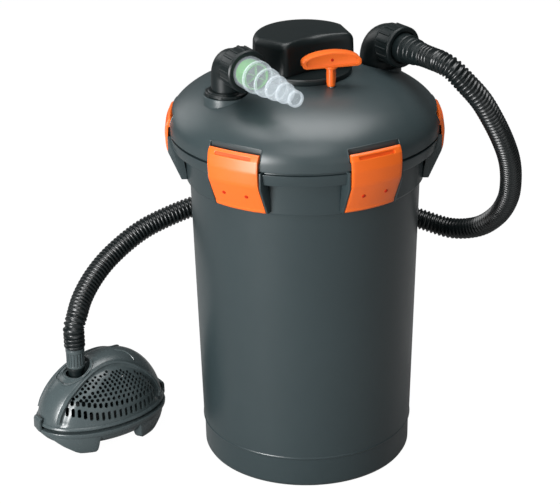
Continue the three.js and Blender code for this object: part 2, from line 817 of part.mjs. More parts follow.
function headBase() {
  const ring = turned([
    [0, baseFoot],
    [headRing, baseFoot],
    [headRing, headRingTop],
    [0, headRingTop],
  ], 24);
  const plate = loft([headSection(headRingTop - 1, 0.97), headSection(headBottom - seatGap, 0.97)]);
  const spigot = turned([
    [headSpigot - 5, baseFoot - 16],
    [headSpigot, baseFoot - 16],
    [headSpigot, headGrooveFoot],
    [headGroove, headGrooveFoot],
    [headGroove, headGrooveFoot + headGrooveHeight],
    [headSpigot, headGrooveFoot + headGrooveHeight],
    [headSpigot, baseFoot + 1],
    [headSpigot - 5, baseFoot + 1],
  ], 20);
  const neck = tube(sleeveRadius + seatGap, neckInner + 4, sleeveLip - 4, baseFoot + 1);
  const sleeveSeat = disc(neckInner, sleeveLip, baseFoot);
  const lampHole = disc(14, baseFoot - 5, headBottom + 5);
  return cut(join(ring, plate, spigot, neck), sleeveSeat, lampHole);
}

function headSeal() {
  const foot = headGrooveFoot + 0.3;
  return tube(headGroove + 0.2, headSpigot + 0.1, foot, headGrooveFoot + headGrooveHeight - 0.3, 20);
}

function quartzSleeve() {
  const wall = 2;
  const inner = sleeveRadius - wall;
  return turned([
    [0, sleeveBottom],
    [inner - 3, sleeveBottom + 0.6],
    [sleeveRadius, sleeveBottom + 8],
    [sleeveRadius, sleeveLip + seatGap],
    [neckInner - seatGap, sleeveLip + seatGap],
    [neckInner - seatGap, baseFoot - 1.5],
    [inner, baseFoot - 1.5],
    [inner, sleeveBottom + 9],
    [inner - 4, sleeveBottom + 2.6],
    [0, sleeveBottom + 2.1],
  ]);
}

const capFoot = baseFoot - 13;

function uvLamp() {
  const offset = lampTube + 1.4;
  const legs = [-1, 1].map((side) => disc(lampTube, lampBottom, capFoot + 2, 10).translate([side * offset, 0, 0]));
  const bridge = block([-offset, -lampTube / 2, lampBottom + 3], [offset, lampTube / 2, lampBottom + 12]);
  return join(disc(13, capFoot, headRingTop + 2), ...legs, bridge);
}

function lampSocket() {
  const foot = headBottom;
  return turned([[0, headRingTop + 2 + seatGap], [13.5, headRingTop + 2 + seatGap], [13.5, foot], [19, foot],
    [19, foot + 3], [15, foot + 4], [15, foot + 17], [0, foot + 17]]);
}

function ballast() {
  const foot = headBottom;
  const body = block([-36, 20, foot], [36, 50, foot + 25]);
  return cut(body, block([-40, 28, foot + 20], [40, 42, foot + 30]));
}

function cableGland() {
  const seat = headRadius * 0.995 + seatGap;
  const profile = [[0, 0], [glandRadius + 1.5, 0], [glandRadius + 1.5, 5], [glandRadius, 5.8],
    [glandRadius - 1.4, glandLength], [3.2, glandLength], [3.2, 3], [0, 3]];
  const turnedY = turnedGeometry(profile, smallSides).rotateX(-quarterTurn);
  return solidOf(turnedY.translate(0, seat, glandHeight));
}

// ---------------------------------------------------------------- lift handle, rod and foam

// The T-shaped grip with its stem, turned about the stem.
function cleaningHandle() {
  const outline = [];
  const steps = 8;
  for (let i = 0; i <= steps; i++) {
    const share = 1 - (2 * i) / steps;
    const x = handleHalf * Math.sin(share * quarterTurn);
    const rise = handleTop - handleBottom - handleEnd;
    const lift = rise * Math.cos(share * quarterTurn) ** 1.2;
    outline.push([x, handleBottom + 2 + handleEnd - 2 + lift]);
  }
  outline.push([-handleHalf, handleBottom + 3.5], [-handleHalf + 5, handleBottom]);
  outline.push([handleHalf - 5, handleBottom], [handleHalf, handleBottom + 3.5]);
  const shape = new THREE.Shape(outline.map(([x, z]) => new THREE.Vector2(x, z)));
  const bar = new THREE.ExtrudeGeometry(shape, { depth: handleDepth, bevelEnabled: false });
  const grip = solidOf(bar.rotateX(quarterTurn).translate(0, handleDepth / 2, 0));
  const face = -handleDepth / 2;
  const recess = outline.map(([x, z]) => new THREE.Vector2(x * 0.88, handleBottom + 9 + (z - handleBottom - 9) * 0.72));
  const pocket = new THREE.ExtrudeGeometry(new THREE.Shape(recess), { depth: 3, bevelEnabled: false });
  const hollow = solidOf(pocket.rotateX(quarterTurn).translate(0, face + 2, 0));
  const foot = seatHeight + 0.5;
  const stem = turned([[0, foot], [stemRadius - 1.6, foot], [stemRadius, foot + 2], [stemRadius, handleBottom + 2],
    [0, handleBottom + 2]]);
  return join(cut(grip, hollow), stem);
}

const rodTop = seatHeight + 0.5 - seatGap;
const plateTop = plateHeight + plateThickness;
const nutHeight = 7;

function cleaningRod() {
  return disc(rodRadius, plateHeight - seatGap - nutHeight - 4, rodTop).translate([0, -handleRadius, 0]);
}

function rodBush() {
  const top = domeHeight(handleRadius + 13, lidWall) - 0.2;
  const bore = around(rodRadius + seatGap);
  const solid = turned([[bore, top - 16], [9, top - 16], [9, top - 3], [12, top - 3], [12, top], [bore, top]]);
  return solid.translate([0, -handleRadius, 0]);
}

function rodNut() {
  const top = plateHeight - seatGap;
  const hole = disc(rodRadius + seatGap, top - nutHeight - 1, top + 1);
  return cut(disc(10, top - nutHeight, top, 6), hole).translate([0, -handleRadius, 0]);
}

// A round plate with openings between its spokes.
function grid(radius, z0, z1, hubRadius, spokes) {
  const plate = tube(hubRadius, radius, z0, z1, 20);
  const windows = [];
  for (let i = 0; i < spokes; i++) {
    const window = new THREE.Shape();
    const half = Math.PI / spokes - 0.16;
    window.absarc(0, 0, radius - 10, -half, half, false);
    window.absarc(0, 0, hubRadius + windowMargin, half, -half, true);
    window.closePath();
    const tool = new THREE.ExtrudeGeometry(window, { depth: z1 - z0 + 2, bevelEnabled: false, curveSegments: 2 });
    windows.push(solidOf(tool.rotateZ((fullTurn * i) / spokes + quarterTurn).translate(0, 0, z0 - 1)));
  }
  return cut(plate, ...windows);
}

function cleaningPlate() {
  const plate = grid(plateRadius, plateHeight, plateTop, tubeRadius + runGap + 0.5, 4);
  const hole = disc(rodRadius + seatGap, plateHeight - 1, plateTop + 1);
  return cut(plate, hole.translate([0, -handleRadius, 0]));
}

function upperPlate() {
  const foot = ledgeHeight + seatGap;
  const plate = grid(rimMouth - 2.2, foot, foot + upperPlateThickness, tubeRadius + runGap, 4);
  const hole = disc(rodRadius + runGap, foot - 1, foot + upperPlateThickness + 1);
  return cut(plate, hole.translate([0, -handleRadius, 0]));
}

function centreTube() {
  const foot = tubFloor + seatGap;
  const top = ledgeHeight + seatGap + upperPlateThickness + 4;
  const solid = turned([[tubeRadius - tubeWall, foot], [tubeFlange, foot], [tubeFlange, foot + 4],
    [tubeRadius, foot + 6], [tubeRadius, top], [tubeRadius - tubeWall, top]]);
  const slotLength = 2 * tubeRadius + 10;
  const slots = tubeSlots.map((z, i) =>
    block([-slotLength / 2, -6, z], [slotLength / 2, 6, z + tubeSlotHeight]).rotate([0, 0, 90 * i]));
  return cut(solid, ...slots);
}

const foamPitch = (ledgeHeight - plateTop) / foamCount;

function foamDisc(index) {
  const foot = plateTop + foamGap + foamPitch * index;
  const ring = tube(tubeRadius + 1.5, foamRadius, foot, foot + foamPitch - foamGap, 16);
  const hole = disc(rodRadius + 1.5, foot - 1, foot + foamPitch + 1, 8);
  return cut(ring, hole.translate([0, -handleRadius, 0]));
}

// ---------------------------------------------------------------- ribbed hose

// The whole route: straight off the inlet's tail, by hand round the canister, straight down onto the pump.
function hosePoints() {
  const turn = radians(inletTurn);
  const out = new THREE.Vector3(Math.sin(turn), -Math.cos(turn), 0);
  const inlet = new THREE.Vector3(elbowRadius, 0, inletAxis);
  const lean = radians(pumpTurn);
  const pump = new THREE.Vector3(
    pumpX + neckOffset * Math.cos(lean),
    pumpY + neckOffset * Math.sin(lean),
    pumpHoseStart + seatGap,
  );
  const steps = [0, 1 / 3, 2 / 3, 1].map((share) => share * hoseStraight);
  return [
    ...steps.map((step) => inlet.clone().addScaledVector(out, inletHoseStart + step)),
    ...hoseRoute.map((p) => new THREE.Vector3(...p)),
    ...steps.reverse().map((step) => pump.clone().setZ(pump.z + step)),
  ];
}

function supplyHose() {
  const curve = new THREE.CatmullRomCurve3(hosePoints(), false, "centripetal");
  curve.arcLengthDivisions = 2000;
  const rings = 2 * hoseRibs;
  const frames = curve.computeFrenetFrames(rings, false);
  const ring = (i, radius) =>
    ringAt(curve.getPointAt(i / rings), frames.normals[i], frames.binormals[i], radius, hoseSides);
  const outside = Array.from({ length: rings + 1 }, (_, i) => {
    const atEnd = i === 0 || i === rings;
    return ring(i, atEnd || i % 2 === 0 ? hoseValley : hoseRadius);
  });
  const points = Array.from({ length: rings + 1 }, (_, i) => curve.getPointAt(i / rings));
  const fixed = [0, endBoreRing, rings - endBoreRing, rings];
  const bore = [0];
  for (let i = 1; i <= rings; i++) {
    if (fixed.includes(i) || straysFrom(points.slice(bore.at(-1), i + 2)) > boreStray) bore.push(i);
  }
  console.log("hose length " + curve.getLength().toFixed(1) + " mm, least gap to itself "
    + leastSelfGap(curve).toFixed(1) + " mm");
  return loft([...outside, ...bore.reverse().map((i) => ring(i, hoseBore))], true);
}

// Greatest distance of a row of points from the line between its ends.
function straysFrom(points) {
  const line = new THREE.Line3(points[0], points.at(-1));
  const foot = new THREE.Vector3();
  return Math.max(...points.map((point) => line.closestPointToPoint(point, true, foot).distanceTo(point)));
}

// Least distance between the hose's surfaces, over points more than three diameters apart along it.
function leastSelfGap(curve) {
  const count = 200;
  const points = curve.getSpacedPoints(count);
  const apart = Math.ceil((6 * hoseRadius * count) / curve.getLength());
  let least = Infinity;
  for (let i = 0; i < count; i++) {
    for (let j = i + apart; j <= count; j++) least = Math.min(least, points[i].distanceTo(points[j]));
  }
  return least - 2 * hoseRadius;
}

// ---------------------------------------------------------------- pump

const rimTop = pumpRim + pumpRimThickness;
const pumpSides = 22;
const domePower = 2.1;
const domeRise = 0.58;

// Rings of the pump's dome, shrunk by an inset, leaning towards its far end.
function domeRings(inset, foot) {
  const top = pumpTop - inset;
  const shares = [1, 0.955, 0.86, 0.7, 0.48, 0.2];
  const sides = pumpSides;
  return shares.map((share) => {
    const rise = (1 - share ** domePower) ** domeRise;
    const z = foot + (top - foot) * rise;
    return Array.from({ length: sides }, (_, j) => {
      const angle = (fullTurn * j) / sides;
      const x = pumpLean * (1 - share) + (pumpHalfLength - inset) * share * Math.cos(angle);
      return new THREE.Vector3(x, (pumpHalfWidth - inset) * share * Math.sin(angle), z);
    });
  });
}

const domeFoot = rimTop + seatGap;
const domeRadiusShare = (z) => (1 - ((z - domeFoot) / (pumpTop - domeFoot)) ** (1 / domeRise)) ** (1 / domePower);

// Openings in both long sides of the dome: rows of holes above a row of slots.
function strainerCuts() {
  const cuts = [];
  for (const { height, count, pitch, width, length } of holeRows) {
    for (let i = 0; i < count; i++) {
      const x = 12 + pitch * (i - (count - 1) / 2);
      const reach = pumpHalfWidth + 10;
      const low = [x - width / 2, 18, height - length / 2];
      const high = [x + width / 2, reach, height + length / 2];
      cuts.push(block(low, high), block([low[0], -reach, low[2]], [high[0], -18, high[2]]));
    }
  }
  return cuts;
}

function pumpUpperShell() {
  const shell = cut(loft(domeRings(0, domeFoot)), loft(domeRings(pumpWall, domeFoot - 1)));
  const seat = disc(socketRadius + seatGap, socketHeight - 8, pumpTop + 10, 16).translate([neckOffset, 0, 0]);
  const well = join(
    disc(socketRadius + seatGap + pumpWall, socketHeight - 11, pumpTop - 11, 16).translate([neckOffset, 0, 0]),
  ).intersect(loft(domeRings(0, domeFoot)));
  const passage = disc(ballRadius + 0.8, socketHeight - 30, pumpTop).translate([neckOffset, 0, 0]);
  return cut(cut(join(shell, well), seat, passage), ...strainerCuts());
}

function ellipseRing(halfLength, halfWidth, z) {
  const sides = pumpSides;
  return Array.from({ length: sides }, (_, j) => {
    const angle = (fullTurn * j) / sides;
    return new THREE.Vector3(halfLength * Math.cos(angle), halfWidth * Math.sin(angle), z);
  });
}

const latchWidth = 18;

function pumpLowerShell() {
  const a = pumpHalfLength;
  const b = pumpHalfWidth;
  const over = pumpRimOverhang;
  const outside = loft([
    ellipseRing(a - 24, b - 20, footHeight - 8),
    ellipseRing(a - 10, b - 8, footHeight),
    ellipseRing(a - 2, b - 2, pumpRim),
    ellipseRing(a + over, b + over, pumpRim + 1),
    ellipseRing(a + over, b + over, rimTop - 1),
    ellipseRing(a + over - 1, b + over - 1, rimTop),
  ]);
  const inside = loft([ellipseRing(a - 16, b - 14, footHeight), ellipseRing(a - 6, b - 6, rimTop + 1)]);
  const feet = [];
  for (const [x, y] of [[-47, 1], [44, 1], [-47, -1], [44, -1]]) {
    const foot = sideProfile([[footInner, 0], [footOuter, 0], [footOuter + 3, 8], [b - 6, footHeight + 8],
      [footInner - 6, footHeight + 8]], 24, x);
    feet.push(y < 0 ? foot : foot.mirror([0, 1, 0]));
  }
  const saddles = [4, 50].map((x) =>
    sideProfile([[-20, footHeight - 3], [20, footHeight - 3], [20, shaftHeight - 12],
      [-20, shaftHeight - 12]], 6, x));
  const cradle = disc(motorRadius + seatGap, -motorLength, motorLength, 20)
    .rotate([0, 90, 0]).translate([motorMiddle, 0, shaftHeight]);
  const housingPost = block([neckOffset - 10, -10, footHeight - 3], [neckOffset + 10, 10, volute.foot - seatGap]);
  const notches = [-1, 1].map((side) =>
    block([side * (a + over) - 3.2, -latchWidth / 2 - 0.5, pumpRim - 3],
      [side * (a + over) + 3.2, latchWidth / 2 + 0.5, rimTop + 1]));
  return cut(join(cut(outside, inside), ...feet, ...saddles.map((s) => s.subtract(cradle)), housingPost), ...notches);
}

const volute = { radius: 22, foot: shaftHeight - 24, back: neckOffset - 13, front: neckOffset + 13 };

function impellerHousing() {
  const { radius, back, front, foot } = volute;
  const casing = turnedX([[0, back], [radius - 3, back], [radius, back + 3], [radius, front], [0, front]])
    .translate([0, 0, shaftHeight]);
  const pad = block([neckOffset - 9, -9, foot], [neckOffset + 9, 9, shaftHeight - 15]);
  const riser = disc(neckRadius + 1, shaftHeight + 8, socketHeight - ballRadius - 4, 16).translate([neckOffset, 0, 0]);
  const chamber = turnedX([[0, back + 3], [impellerRadius + 3, back + 3], [impellerRadius + 3, front + 1],
    [0, front + 1]]).translate([0, 0, shaftHeight]);
  const eye = turnedX([[0, back - 2], [7, back - 2], [7, back + 5], [0, back + 5]], 12).translate([0, 0, shaftHeight]);
  const throat = disc(neckRadius - 3, shaftHeight, socketHeight, 16).translate([neckOffset, 0, 0]);
  return cut(join(casing, pad, riser), chamber, eye, throat);
}

function impeller() {
  const x0 = volute.back + 5;
  const x1 = volute.front - 6;
  const hub = turnedX([[shaftRadius + 0.05, x0], [5, x0], [5, x1], [impellerRadius, x1], [impellerRadius, x1 + 2.4],
    [shaftRadius + 0.05, x1 + 2.4]], 16);
  const blades = [0, 1, 2, 3, 4].map((i) =>
    block([x0 + 1, -1, 4], [x1 + 1, 1, impellerRadius - 0.6]).rotate([72 * i, 0, 0]));
  return join(hub, ...blades).translate([0, 0, shaftHeight]);
}

function pumpMotor() {
  const start = volute.front + seatGap;
  const profile = [[shaftRadius + 0.6, start], [motorRadius - 2, start], [motorRadius, start + 3],
    [motorRadius, start + motorLength - 4], [motorRadius - 4, start + motorLength], [0, start + motorLength],
    [0, start + 20], [shaftRadius + 0.6, start + 20]];
  return turnedX(profile).translate([0, 0, shaftHeight]);
}

function impellerShaft() {
  const start = volute.back + 5.5;
  const end = volute.front + 19;
  return turnedX([[0, start], [shaftRadius, start], [shaftRadius, end], [0, end]], 10).translate([0, 0, shaftHeight]);
}

// The ball at the foot of the outlet pipe, in its socket.
function outletBall() {
  const foot = socketHeight - ballRadius - 4 + seatGap;
  const top = pumpHoseStart - 30;
  const bore = neckRadius - 2.8;
  return turned([
    [bore, foot],
    [12.5, foot],
    [ballRadius - 1, foot + 4],
    [ballRadius, foot + 9],
    [ballRadius - 1.6, foot + 15],
    [neckRadius, foot + 19],
    [neckRadius, top - 3],
    [neckRadius + 2, top - 2.4],
    [neckRadius + 2, top],
    [bore, top],
  ]).translate([neckOffset, 0, 0]);
}

function socketRing() {
  return turned([
    [ballRadius + 0.6, socketHeight - 7.7],
    [socketRadius, socketHeight - 7.7],
    [socketRadius, socketHeight + 3],
    [socketRadius - 1.4, socketHeight + 4.4],
    [ballRadius - 1.2, socketHeight + 4.4],
    [ballRadius + 0.6, socketHeight],
  ], 16).translate([neckOffset, 0, 0]);
}

// The collar that screws onto the pipe, with the spigot that goes into the hose.
function pumpHoseTail() {
  const foot = pumpHoseStart - 30 + seatGap;
  const top = pumpHoseStart;
  const bore = neckRadius - 2.8;
  const body = turned([
    [bore, foot],
    [collarRibRadius + 0.6, foot],
    [collarRibRadius + 0.6, foot + 3],
    [collarRibRadius, foot + 4],
    [collarRibRadius, foot + 20],
    [collarRibRadius + 1.2, foot + 21],
    [collarRibRadius + 1.2, top],
    [hoseGrip, top],
    [hoseGrip, top + 20],
    [bore, top + 20],
  ]);
  return body.translate([neckOffset, 0, 0]);
}

const latchPivot = pumpRim + 1.5;

// A latch on the rim at one end of the long axis, facing -X on the left and +X on the right.
function latch(side) {
  const out = pumpHalfLength + pumpRimOverhang;
  const outline = [
    [out - 2.7, latchPivot - 1.6],
    [out - 1.4, latchPivot - 2.7],
    [out + 1.6, latchPivot - 2.7],
    [out + 2.8, latchPivot],
    [out + 2.4, rimTop + 10],
    [out + 0.4, rimTop + 13],
    [out - 3.2, rimTop + 13.2],
    [out - 3.6, rimTop + 11.6],
    [out - 1.2, rimTop + 9.5],
    [out - 0.6, rimTop + 3],
    [out - 1.6, latchPivot + 2.5],
  ];
  return sideProfile(outline, latchWidth).rotate([0, 0, side < 0 ? -90 : 90]);
}

function pumpGland() {
  const seat = rimTop + 11;
  const share = domeRadiusShare(seat);
  const angle = radians(35);
  const [a, b] = [pumpHalfLength * share, pumpHalfWidth * share];
  const facing = Math.atan2(Math.sin(angle) / b, Math.cos(angle) / a);
  const profile = [[0, 0.6], [glandRadius, 0.6], [glandRadius, 5], [glandRadius - 2.4, 22], [3, 22], [3, 4], [0, 4]];
  return turnedX(profile, 12)
    .rotate([0, 0, THREE.MathUtils.radToDeg(facing)])
    .translate([pumpLean * (1 - share) + a * Math.cos(angle), b * Math.sin(angle), seat]);
}

function pumpAssembly() {
  const group = new THREE.Group();
  group.position.set(pumpX, pumpY, 0);
  group.rotation.z = radians(pumpTurn);
  group.add(
    piece("pump_lower_shell", pumpLowerShell(), slate),
    piece("pump_upper_shell", pumpUpperShell(), slate),
    piece("pump_motor", pumpMotor(), black),
    piece("impeller_housing", impellerHousing(), black),
    piece("impeller", impeller(), white),
    piece("impeller_shaft", impellerShaft(), white),
    piece("pump_outlet_ball", outletBall(), black),
    piece("pump_socket_ring", socketRing(), slate),
    piece("pump_hose_tail", pumpHoseTail(), black),
    piece("pump_latch_left", latch(-1), slate),
    piece("pump_latch_right", latch(1), slate),
    piece("pump_cable_gland", pumpGland(), black),
  );
  return group;
}

// ---------------------------------------------------------------- the whole filter

function clipSet() {
  const group = new THREE.Group();
  const shape = clip();
  for (let i = 0; i < clipCount; i++) {
    const mesh = piece("clip_" + (i + 1), shape, orange);
    mesh.rotation.z = (fullTurn * i) / clipCount;
    group.add(mesh);
  }
  return group;
}

const filter = new THREE.Group();
const handle = piece("cleaning_handle", cleaningHandle(), orange);
handle.position.y = -handleRadius;
handle.rotation.z = radians(handleTurn);
filter.add(
  piece("canister_tub", canisterTub(), slate),
  piece("lid_dome", lidDome(), slate),
  piece("lid_seal", lidSeal(), rubber),
  clipSet(),
  piece("uv_head_cover", headCover(), black),
  piece("uv_head_base", headBase(), black),
  piece("uv_head_seal", headSeal(), rubber),
  piece("uv_ballast", ballast(), white),
  piece("uv_lamp_socket", lampSocket(), white),
  piece("uv_lamp", uvLamp(), glass),
  piece("quartz_sleeve", quartzSleeve(), glass),
  piece("uv_cable_gland", cableGland(), black),
  handle,
  piece("cleaning_rod", cleaningRod(), steel),
  piece("rod_bush", rodBush(), black),
  piece("rod_nut", rodNut(), steel),
  piece("cleaning_plate", cleaningPlate(), black),
  piece("upper_plate", upperPlate(), black),
  piece("centre_tube", centreTube(), black),
  outletAssembly(),
  inletAssembly(),
  piece("supply_hose", supplyHose(), rubber),
  pumpAssembly(),
);
for (let i = 0; i < foamCount; i++) filter.add(piece("foam_disc_" + (i + 1), foamDisc(i), foam));

export default filter;
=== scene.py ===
"""Looks of the canister filter: detailed shells, fittings, hose and pump around its CAD frame.

Points are worked out in millimetres in the row frame and scaled when a mesh is made.
"""

import math

import bpy
import bmesh
from mathutils import Matrix, Vector


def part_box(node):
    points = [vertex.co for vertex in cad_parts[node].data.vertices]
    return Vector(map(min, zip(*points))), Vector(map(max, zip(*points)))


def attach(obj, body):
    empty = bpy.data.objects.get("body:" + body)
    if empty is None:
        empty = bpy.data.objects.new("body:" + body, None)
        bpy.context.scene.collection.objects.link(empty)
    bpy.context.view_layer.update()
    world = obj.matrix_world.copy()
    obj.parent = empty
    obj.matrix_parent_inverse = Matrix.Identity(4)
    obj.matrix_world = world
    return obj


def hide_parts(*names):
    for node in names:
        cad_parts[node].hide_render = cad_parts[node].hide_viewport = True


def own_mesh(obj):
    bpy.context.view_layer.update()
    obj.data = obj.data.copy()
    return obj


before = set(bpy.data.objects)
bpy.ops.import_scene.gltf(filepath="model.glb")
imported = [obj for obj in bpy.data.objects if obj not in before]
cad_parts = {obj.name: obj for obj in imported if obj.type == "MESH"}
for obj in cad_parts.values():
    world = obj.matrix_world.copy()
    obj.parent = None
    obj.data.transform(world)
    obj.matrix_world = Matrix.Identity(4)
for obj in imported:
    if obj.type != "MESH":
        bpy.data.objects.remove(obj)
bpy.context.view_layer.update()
MM = 0.001
WELD = 1e-6
FULL = 2 * math.pi


# ---- camera

CAMERA_TURN = math.radians(-30)
FOCAL_LENGTH, PHOTO_WIDTH, SENSOR_WIDTH = 1876.7, 560, 36


def place_camera():
    """The photograph's viewpoint, fitted to the rings of the canister."""
    pitch, roll, yaw = 0.41801, -0.01326, -0.01484
    ahead = Vector((math.sin(yaw), math.cos(yaw), 0))
    right = Vector((math.cos(yaw), -math.sin(yaw), 0))
    up = Vector((0, 0, 1))
    view = ahead * math.cos(pitch) - up * math.sin(pitch)
    lift = ahead * math.sin(pitch) + up * math.cos(pitch)
    across = right * math.cos(roll) + lift * math.sin(roll)
    upward = lift * math.cos(roll) - right * math.sin(roll)
    basis = Matrix((across, upward, -view)).transposed().to_4x4()
    data = bpy.data.cameras.new("camera")
    data.sensor_width = SENSOR_WIDTH
    data.lens = SENSOR_WIDTH * FOCAL_LENGTH / PHOTO_WIDTH
    data.clip_end = 50
    camera = bpy.data.objects.new("camera", data)
    place = Matrix.Translation(Vector((0, -2419.2, 1369.3)) * MM)
    camera.matrix_world = Matrix.Rotation(CAMERA_TURN, 4, "Z") @ place @ basis
    bpy.context.scene.collection.objects.link(camera)
    bpy.context.scene.camera = camera


place_camera()


# ---- finishes


class Value:
    """A socket in an expression: arithmetic on it adds Math nodes."""

    def __init__(self, tree, socket):
        self.tree = tree
        self.socket = socket

    def _math(self, operation, first, second):
        node = self.tree.nodes.new("ShaderNodeMath")
        node.operation = operation
        for socket, value in zip(node.inputs, (first, second)):
            feed(self.tree, socket, value)
        return Value(self.tree, node.outputs[0])

    def __add__(self, other):
        return self._math("ADD", self, other)

    def __rsub__(self, other):
        return self._math("SUBTRACT", other, self)

    def __mul__(self, other):
        return self._math("MULTIPLY", self, other)

    __radd__ = __add__
    __rmul__ = __mul__


def feed(tree, socket, value):
    """Links a value to a socket, or sets the socket to it."""
    if isinstance(value, Value):
        tree.links.new(value.socket, socket)
    else:
        socket.default_value = value


class Graph:
    """The nodes of a finish or of the room."""

    def __init__(self, tree):
        self.tree = tree

    def wire(self, node, **sockets):
        for name, value in sockets.items():
            feed(self.tree, node.inputs[name.replace("_", " ")], value)

    def node(self, kind, settings=None, output=0, **sockets):
        """A node with its settings first, then the values or links of its sockets."""
        node = self.tree.nodes.new(kind)
        for name, value in (settings or {}).items():
            setattr(node, name, value)
        self.wire(node, **sockets)
        return Value(self.tree, node.outputs[output])


class Finish(Graph):
    """A material in the making: its nodes and the shader that shows."""

    def __init__(self, name, **constants):
        self.material = bpy.data.materials.new(name)
        self.material.use_nodes = True
        super().__init__(self.material.node_tree)
        self.shader = self.tree.nodes["Principled BSDF"]
        self.set(**constants)

    def set(self, **sockets):
        self.wire(self.shader, **sockets)

    def place(self):
        return self.node("ShaderNodeTexCoord", output="Object")

    def noise(self, scale, detail, roughness=0.5):
        """Noise over the piece; scale is in waves per metre."""
        place = self.place()
        return self.node("ShaderNodeTexNoise", Vector=place, Scale=scale, Detail=detail, Roughness=roughness)

    def mix(self, amount, first, second):
        """One colour turning into another."""
        node = self.tree.nodes.new("ShaderNodeMix")
        node.data_type = "RGBA"
        for index, value in ((0, amount), (6, first), (7, second)):
            feed(self.tree, node.inputs[index], value)
        return Value(self.tree, node.outputs[2])

    def bump(self, height, depth):
        """Surface relief of a depth in millimetres."""
        self.set(Normal=self.node("ShaderNodeBump", Height=height, Distance=depth * MM, Strength=1.0))


def shade(color, factor):
    return tuple(min(1, c * factor) for c in color) + (1,)


def moulded(name, color, roughness, grain, spread=0.12, gloss=0.5):
    """Moulded plastic: faint cloudy tone, spark-eroded grain and uneven gloss."""
    finish = Finish(name, Specular_IOR_Level=gloss)
    cloud = finish.noise(9, 3)
    fine = finish.noise(900, 2, 0.6)
    worn = finish.noise(60, 4, 0.7)
    tone = cloud * 0.6 + worn * 0.4
    finish.set(
        Base_Color=finish.mix(tone, shade(color, 1 - spread), shade(color, 1 + spread)),
        Roughness=roughness - 0.05 + 0.1 * worn,
    )
    finish.bump(fine, grain)
    return finish.material


def clear_plastic(name, color, roughness, veil):
    """Clear moulding: a milky veil, thicker where the wall is seen edge on, and faint flow lines."""
    finish = Finish(name, IOR=1.46, Specular_IOR_Level=0.7)
    flow = finish.noise(120, 3)
    edge = finish.node("ShaderNodeLayerWeight", output=1, Blend=0.35)
    finish.set(
        Base_Color=finish.mix(flow, shade(color, 0.94), shade(color, 1.0)),
        Roughness=roughness + 0.05 * flow,
        Alpha=veil + 0.5 * edge * edge * edge,
    )
    finish.bump(flow, 0.02)
    return finish.material


def open_foam(name, color):
    """Open-cell filter foam: paler struts, and pores darkened with painted shade."""
    finish = Finish(name, Roughness=0.95)
    place = finish.place()
    cells = finish.node("ShaderNodeTexVoronoi", {"feature": "DISTANCE_TO_EDGE"}, Vector=place, Scale=420.0)
    struts = 1 - cells * 6
    # Pores darker than struts in colour: painted shade in the pores of a foam of one blue.
    finish.set(Base_Color=finish.mix(struts, shade(color, 0.35), shade(color, 1.2)))
    finish.bump(struts, 0.8)
    return finish.material


def brushed_metal(name, color):
    finish = Finish(name, Metallic=1.0)
    streak = finish.noise(260, 5, 0.8)
    tone = finish.mix(streak, shade(color, 0.85), shade(color, 1.1))
    finish.set(Base_Color=tone, Roughness=0.22 + 0.2 * streak)
    finish.bump(streak, 0.02)
    return finish.material


slate = moulded("slate_plastic", (0.022, 0.034, 0.037), 0.31, 0.04)
# A lighter copy of the slate plastic for the lid: painted light, standing in for the light on the lid's top.
lid_slate_painted_light = moulded("lid_plastic_painted_light", (0.028, 0.041, 0.044), 0.36, 0.05)
# A lighter copy of the slate plastic for the pump's pieces: painted light, standing in for the light on the pump's
# dome.
pump_slate_painted_light = moulded("pump_plastic_painted_light", (0.047, 0.062, 0.065), 0.27, 0.03)
black = moulded("fitting_plastic", (0.004, 0.0075, 0.008), 0.38, 0.015, gloss=0.34)
hose_black = moulded("hose_plastic", (0.0035, 0.006, 0.0065), 0.3, 0.02)
orange = moulded("orange_plastic", (0.74, 0.122, 0.010), 0.36, 0.02, spread=0.05)
# A deeper orange for a thin sheet on the floor of each clip's groove: painted shade in the groove, which is the
# plate's own orange.
groove_shade_orange = moulded("groove_shade_plastic", (0.66, 0.075, 0.006), 0.35, 0.02, spread=0.05)
mark_red = moulded("mark_plastic", (0.42, 0.016, 0.005), 0.5, 0.02, gloss=0.1)
green = moulded("indicator_plastic", (0.035, 0.25, 0.004), 0.4, 0.02, gloss=0.2)
white = moulded("white_plastic", (0.72, 0.72, 0.69), 0.45, 0.02, spread=0.03)
rubber = moulded("seal_rubber", (0.016, 0.016, 0.017), 0.75, 0.06)
clear = clear_plastic("clear_plastic", (0.70, 0.78, 0.83), 0.08, 0.10)
frost = clear_plastic("clear_plastic_rim", (0.80, 0.88, 0.93), 0.1, 0.24)
quartz = clear_plastic("quartz_glass", (0.9, 0.95, 1.0), 0.02, 0.08)
foam = open_foam("filter_foam", (0.03, 0.07, 0.2))
steel = brushed_metal("stainless_steel", (0.55, 0.56, 0.57))

SLOT_OF = {
    slate: "canister_slate", lid_slate_painted_light: "canister_slate", pump_slate_painted_light: "canister_slate", black: "fitting_black",
    hose_black: "rubber_black", rubber: "rubber_black", orange: "clip_orange", groove_shade_orange: "clip_orange",
    mark_red: "clip_orange", green: "indicator_green", clear: "clear_plastic", frost: "clear_plastic",
    foam: "foam_blue",
}


# ---- forms: points and faces in millimetres


def around(sides):
    """The angles of the points round a circle."""
    return [FULL * j / sides for j in range(sides)]


def skin(rings, looped=False):
    """Faces over rings of equal counts: capped at both ends, or closed on itself."""
    count = len(rings[0])
    points = [tuple(p) for ring in rings for p in ring]
    faces = []
    for i in range(len(rings) if looped else len(rings) - 1):
        a, b = i * count, (i + 1) % len(rings) * count
        faces += [(a + j, a + (j + 1) % count, b + (j + 1) % count, b + j) for j in range(count)]
    if not looped:
        faces.append(tuple(reversed(range(count))))
        faces.append(tuple(range(len(points) - count, len(points))))
    return points, faces


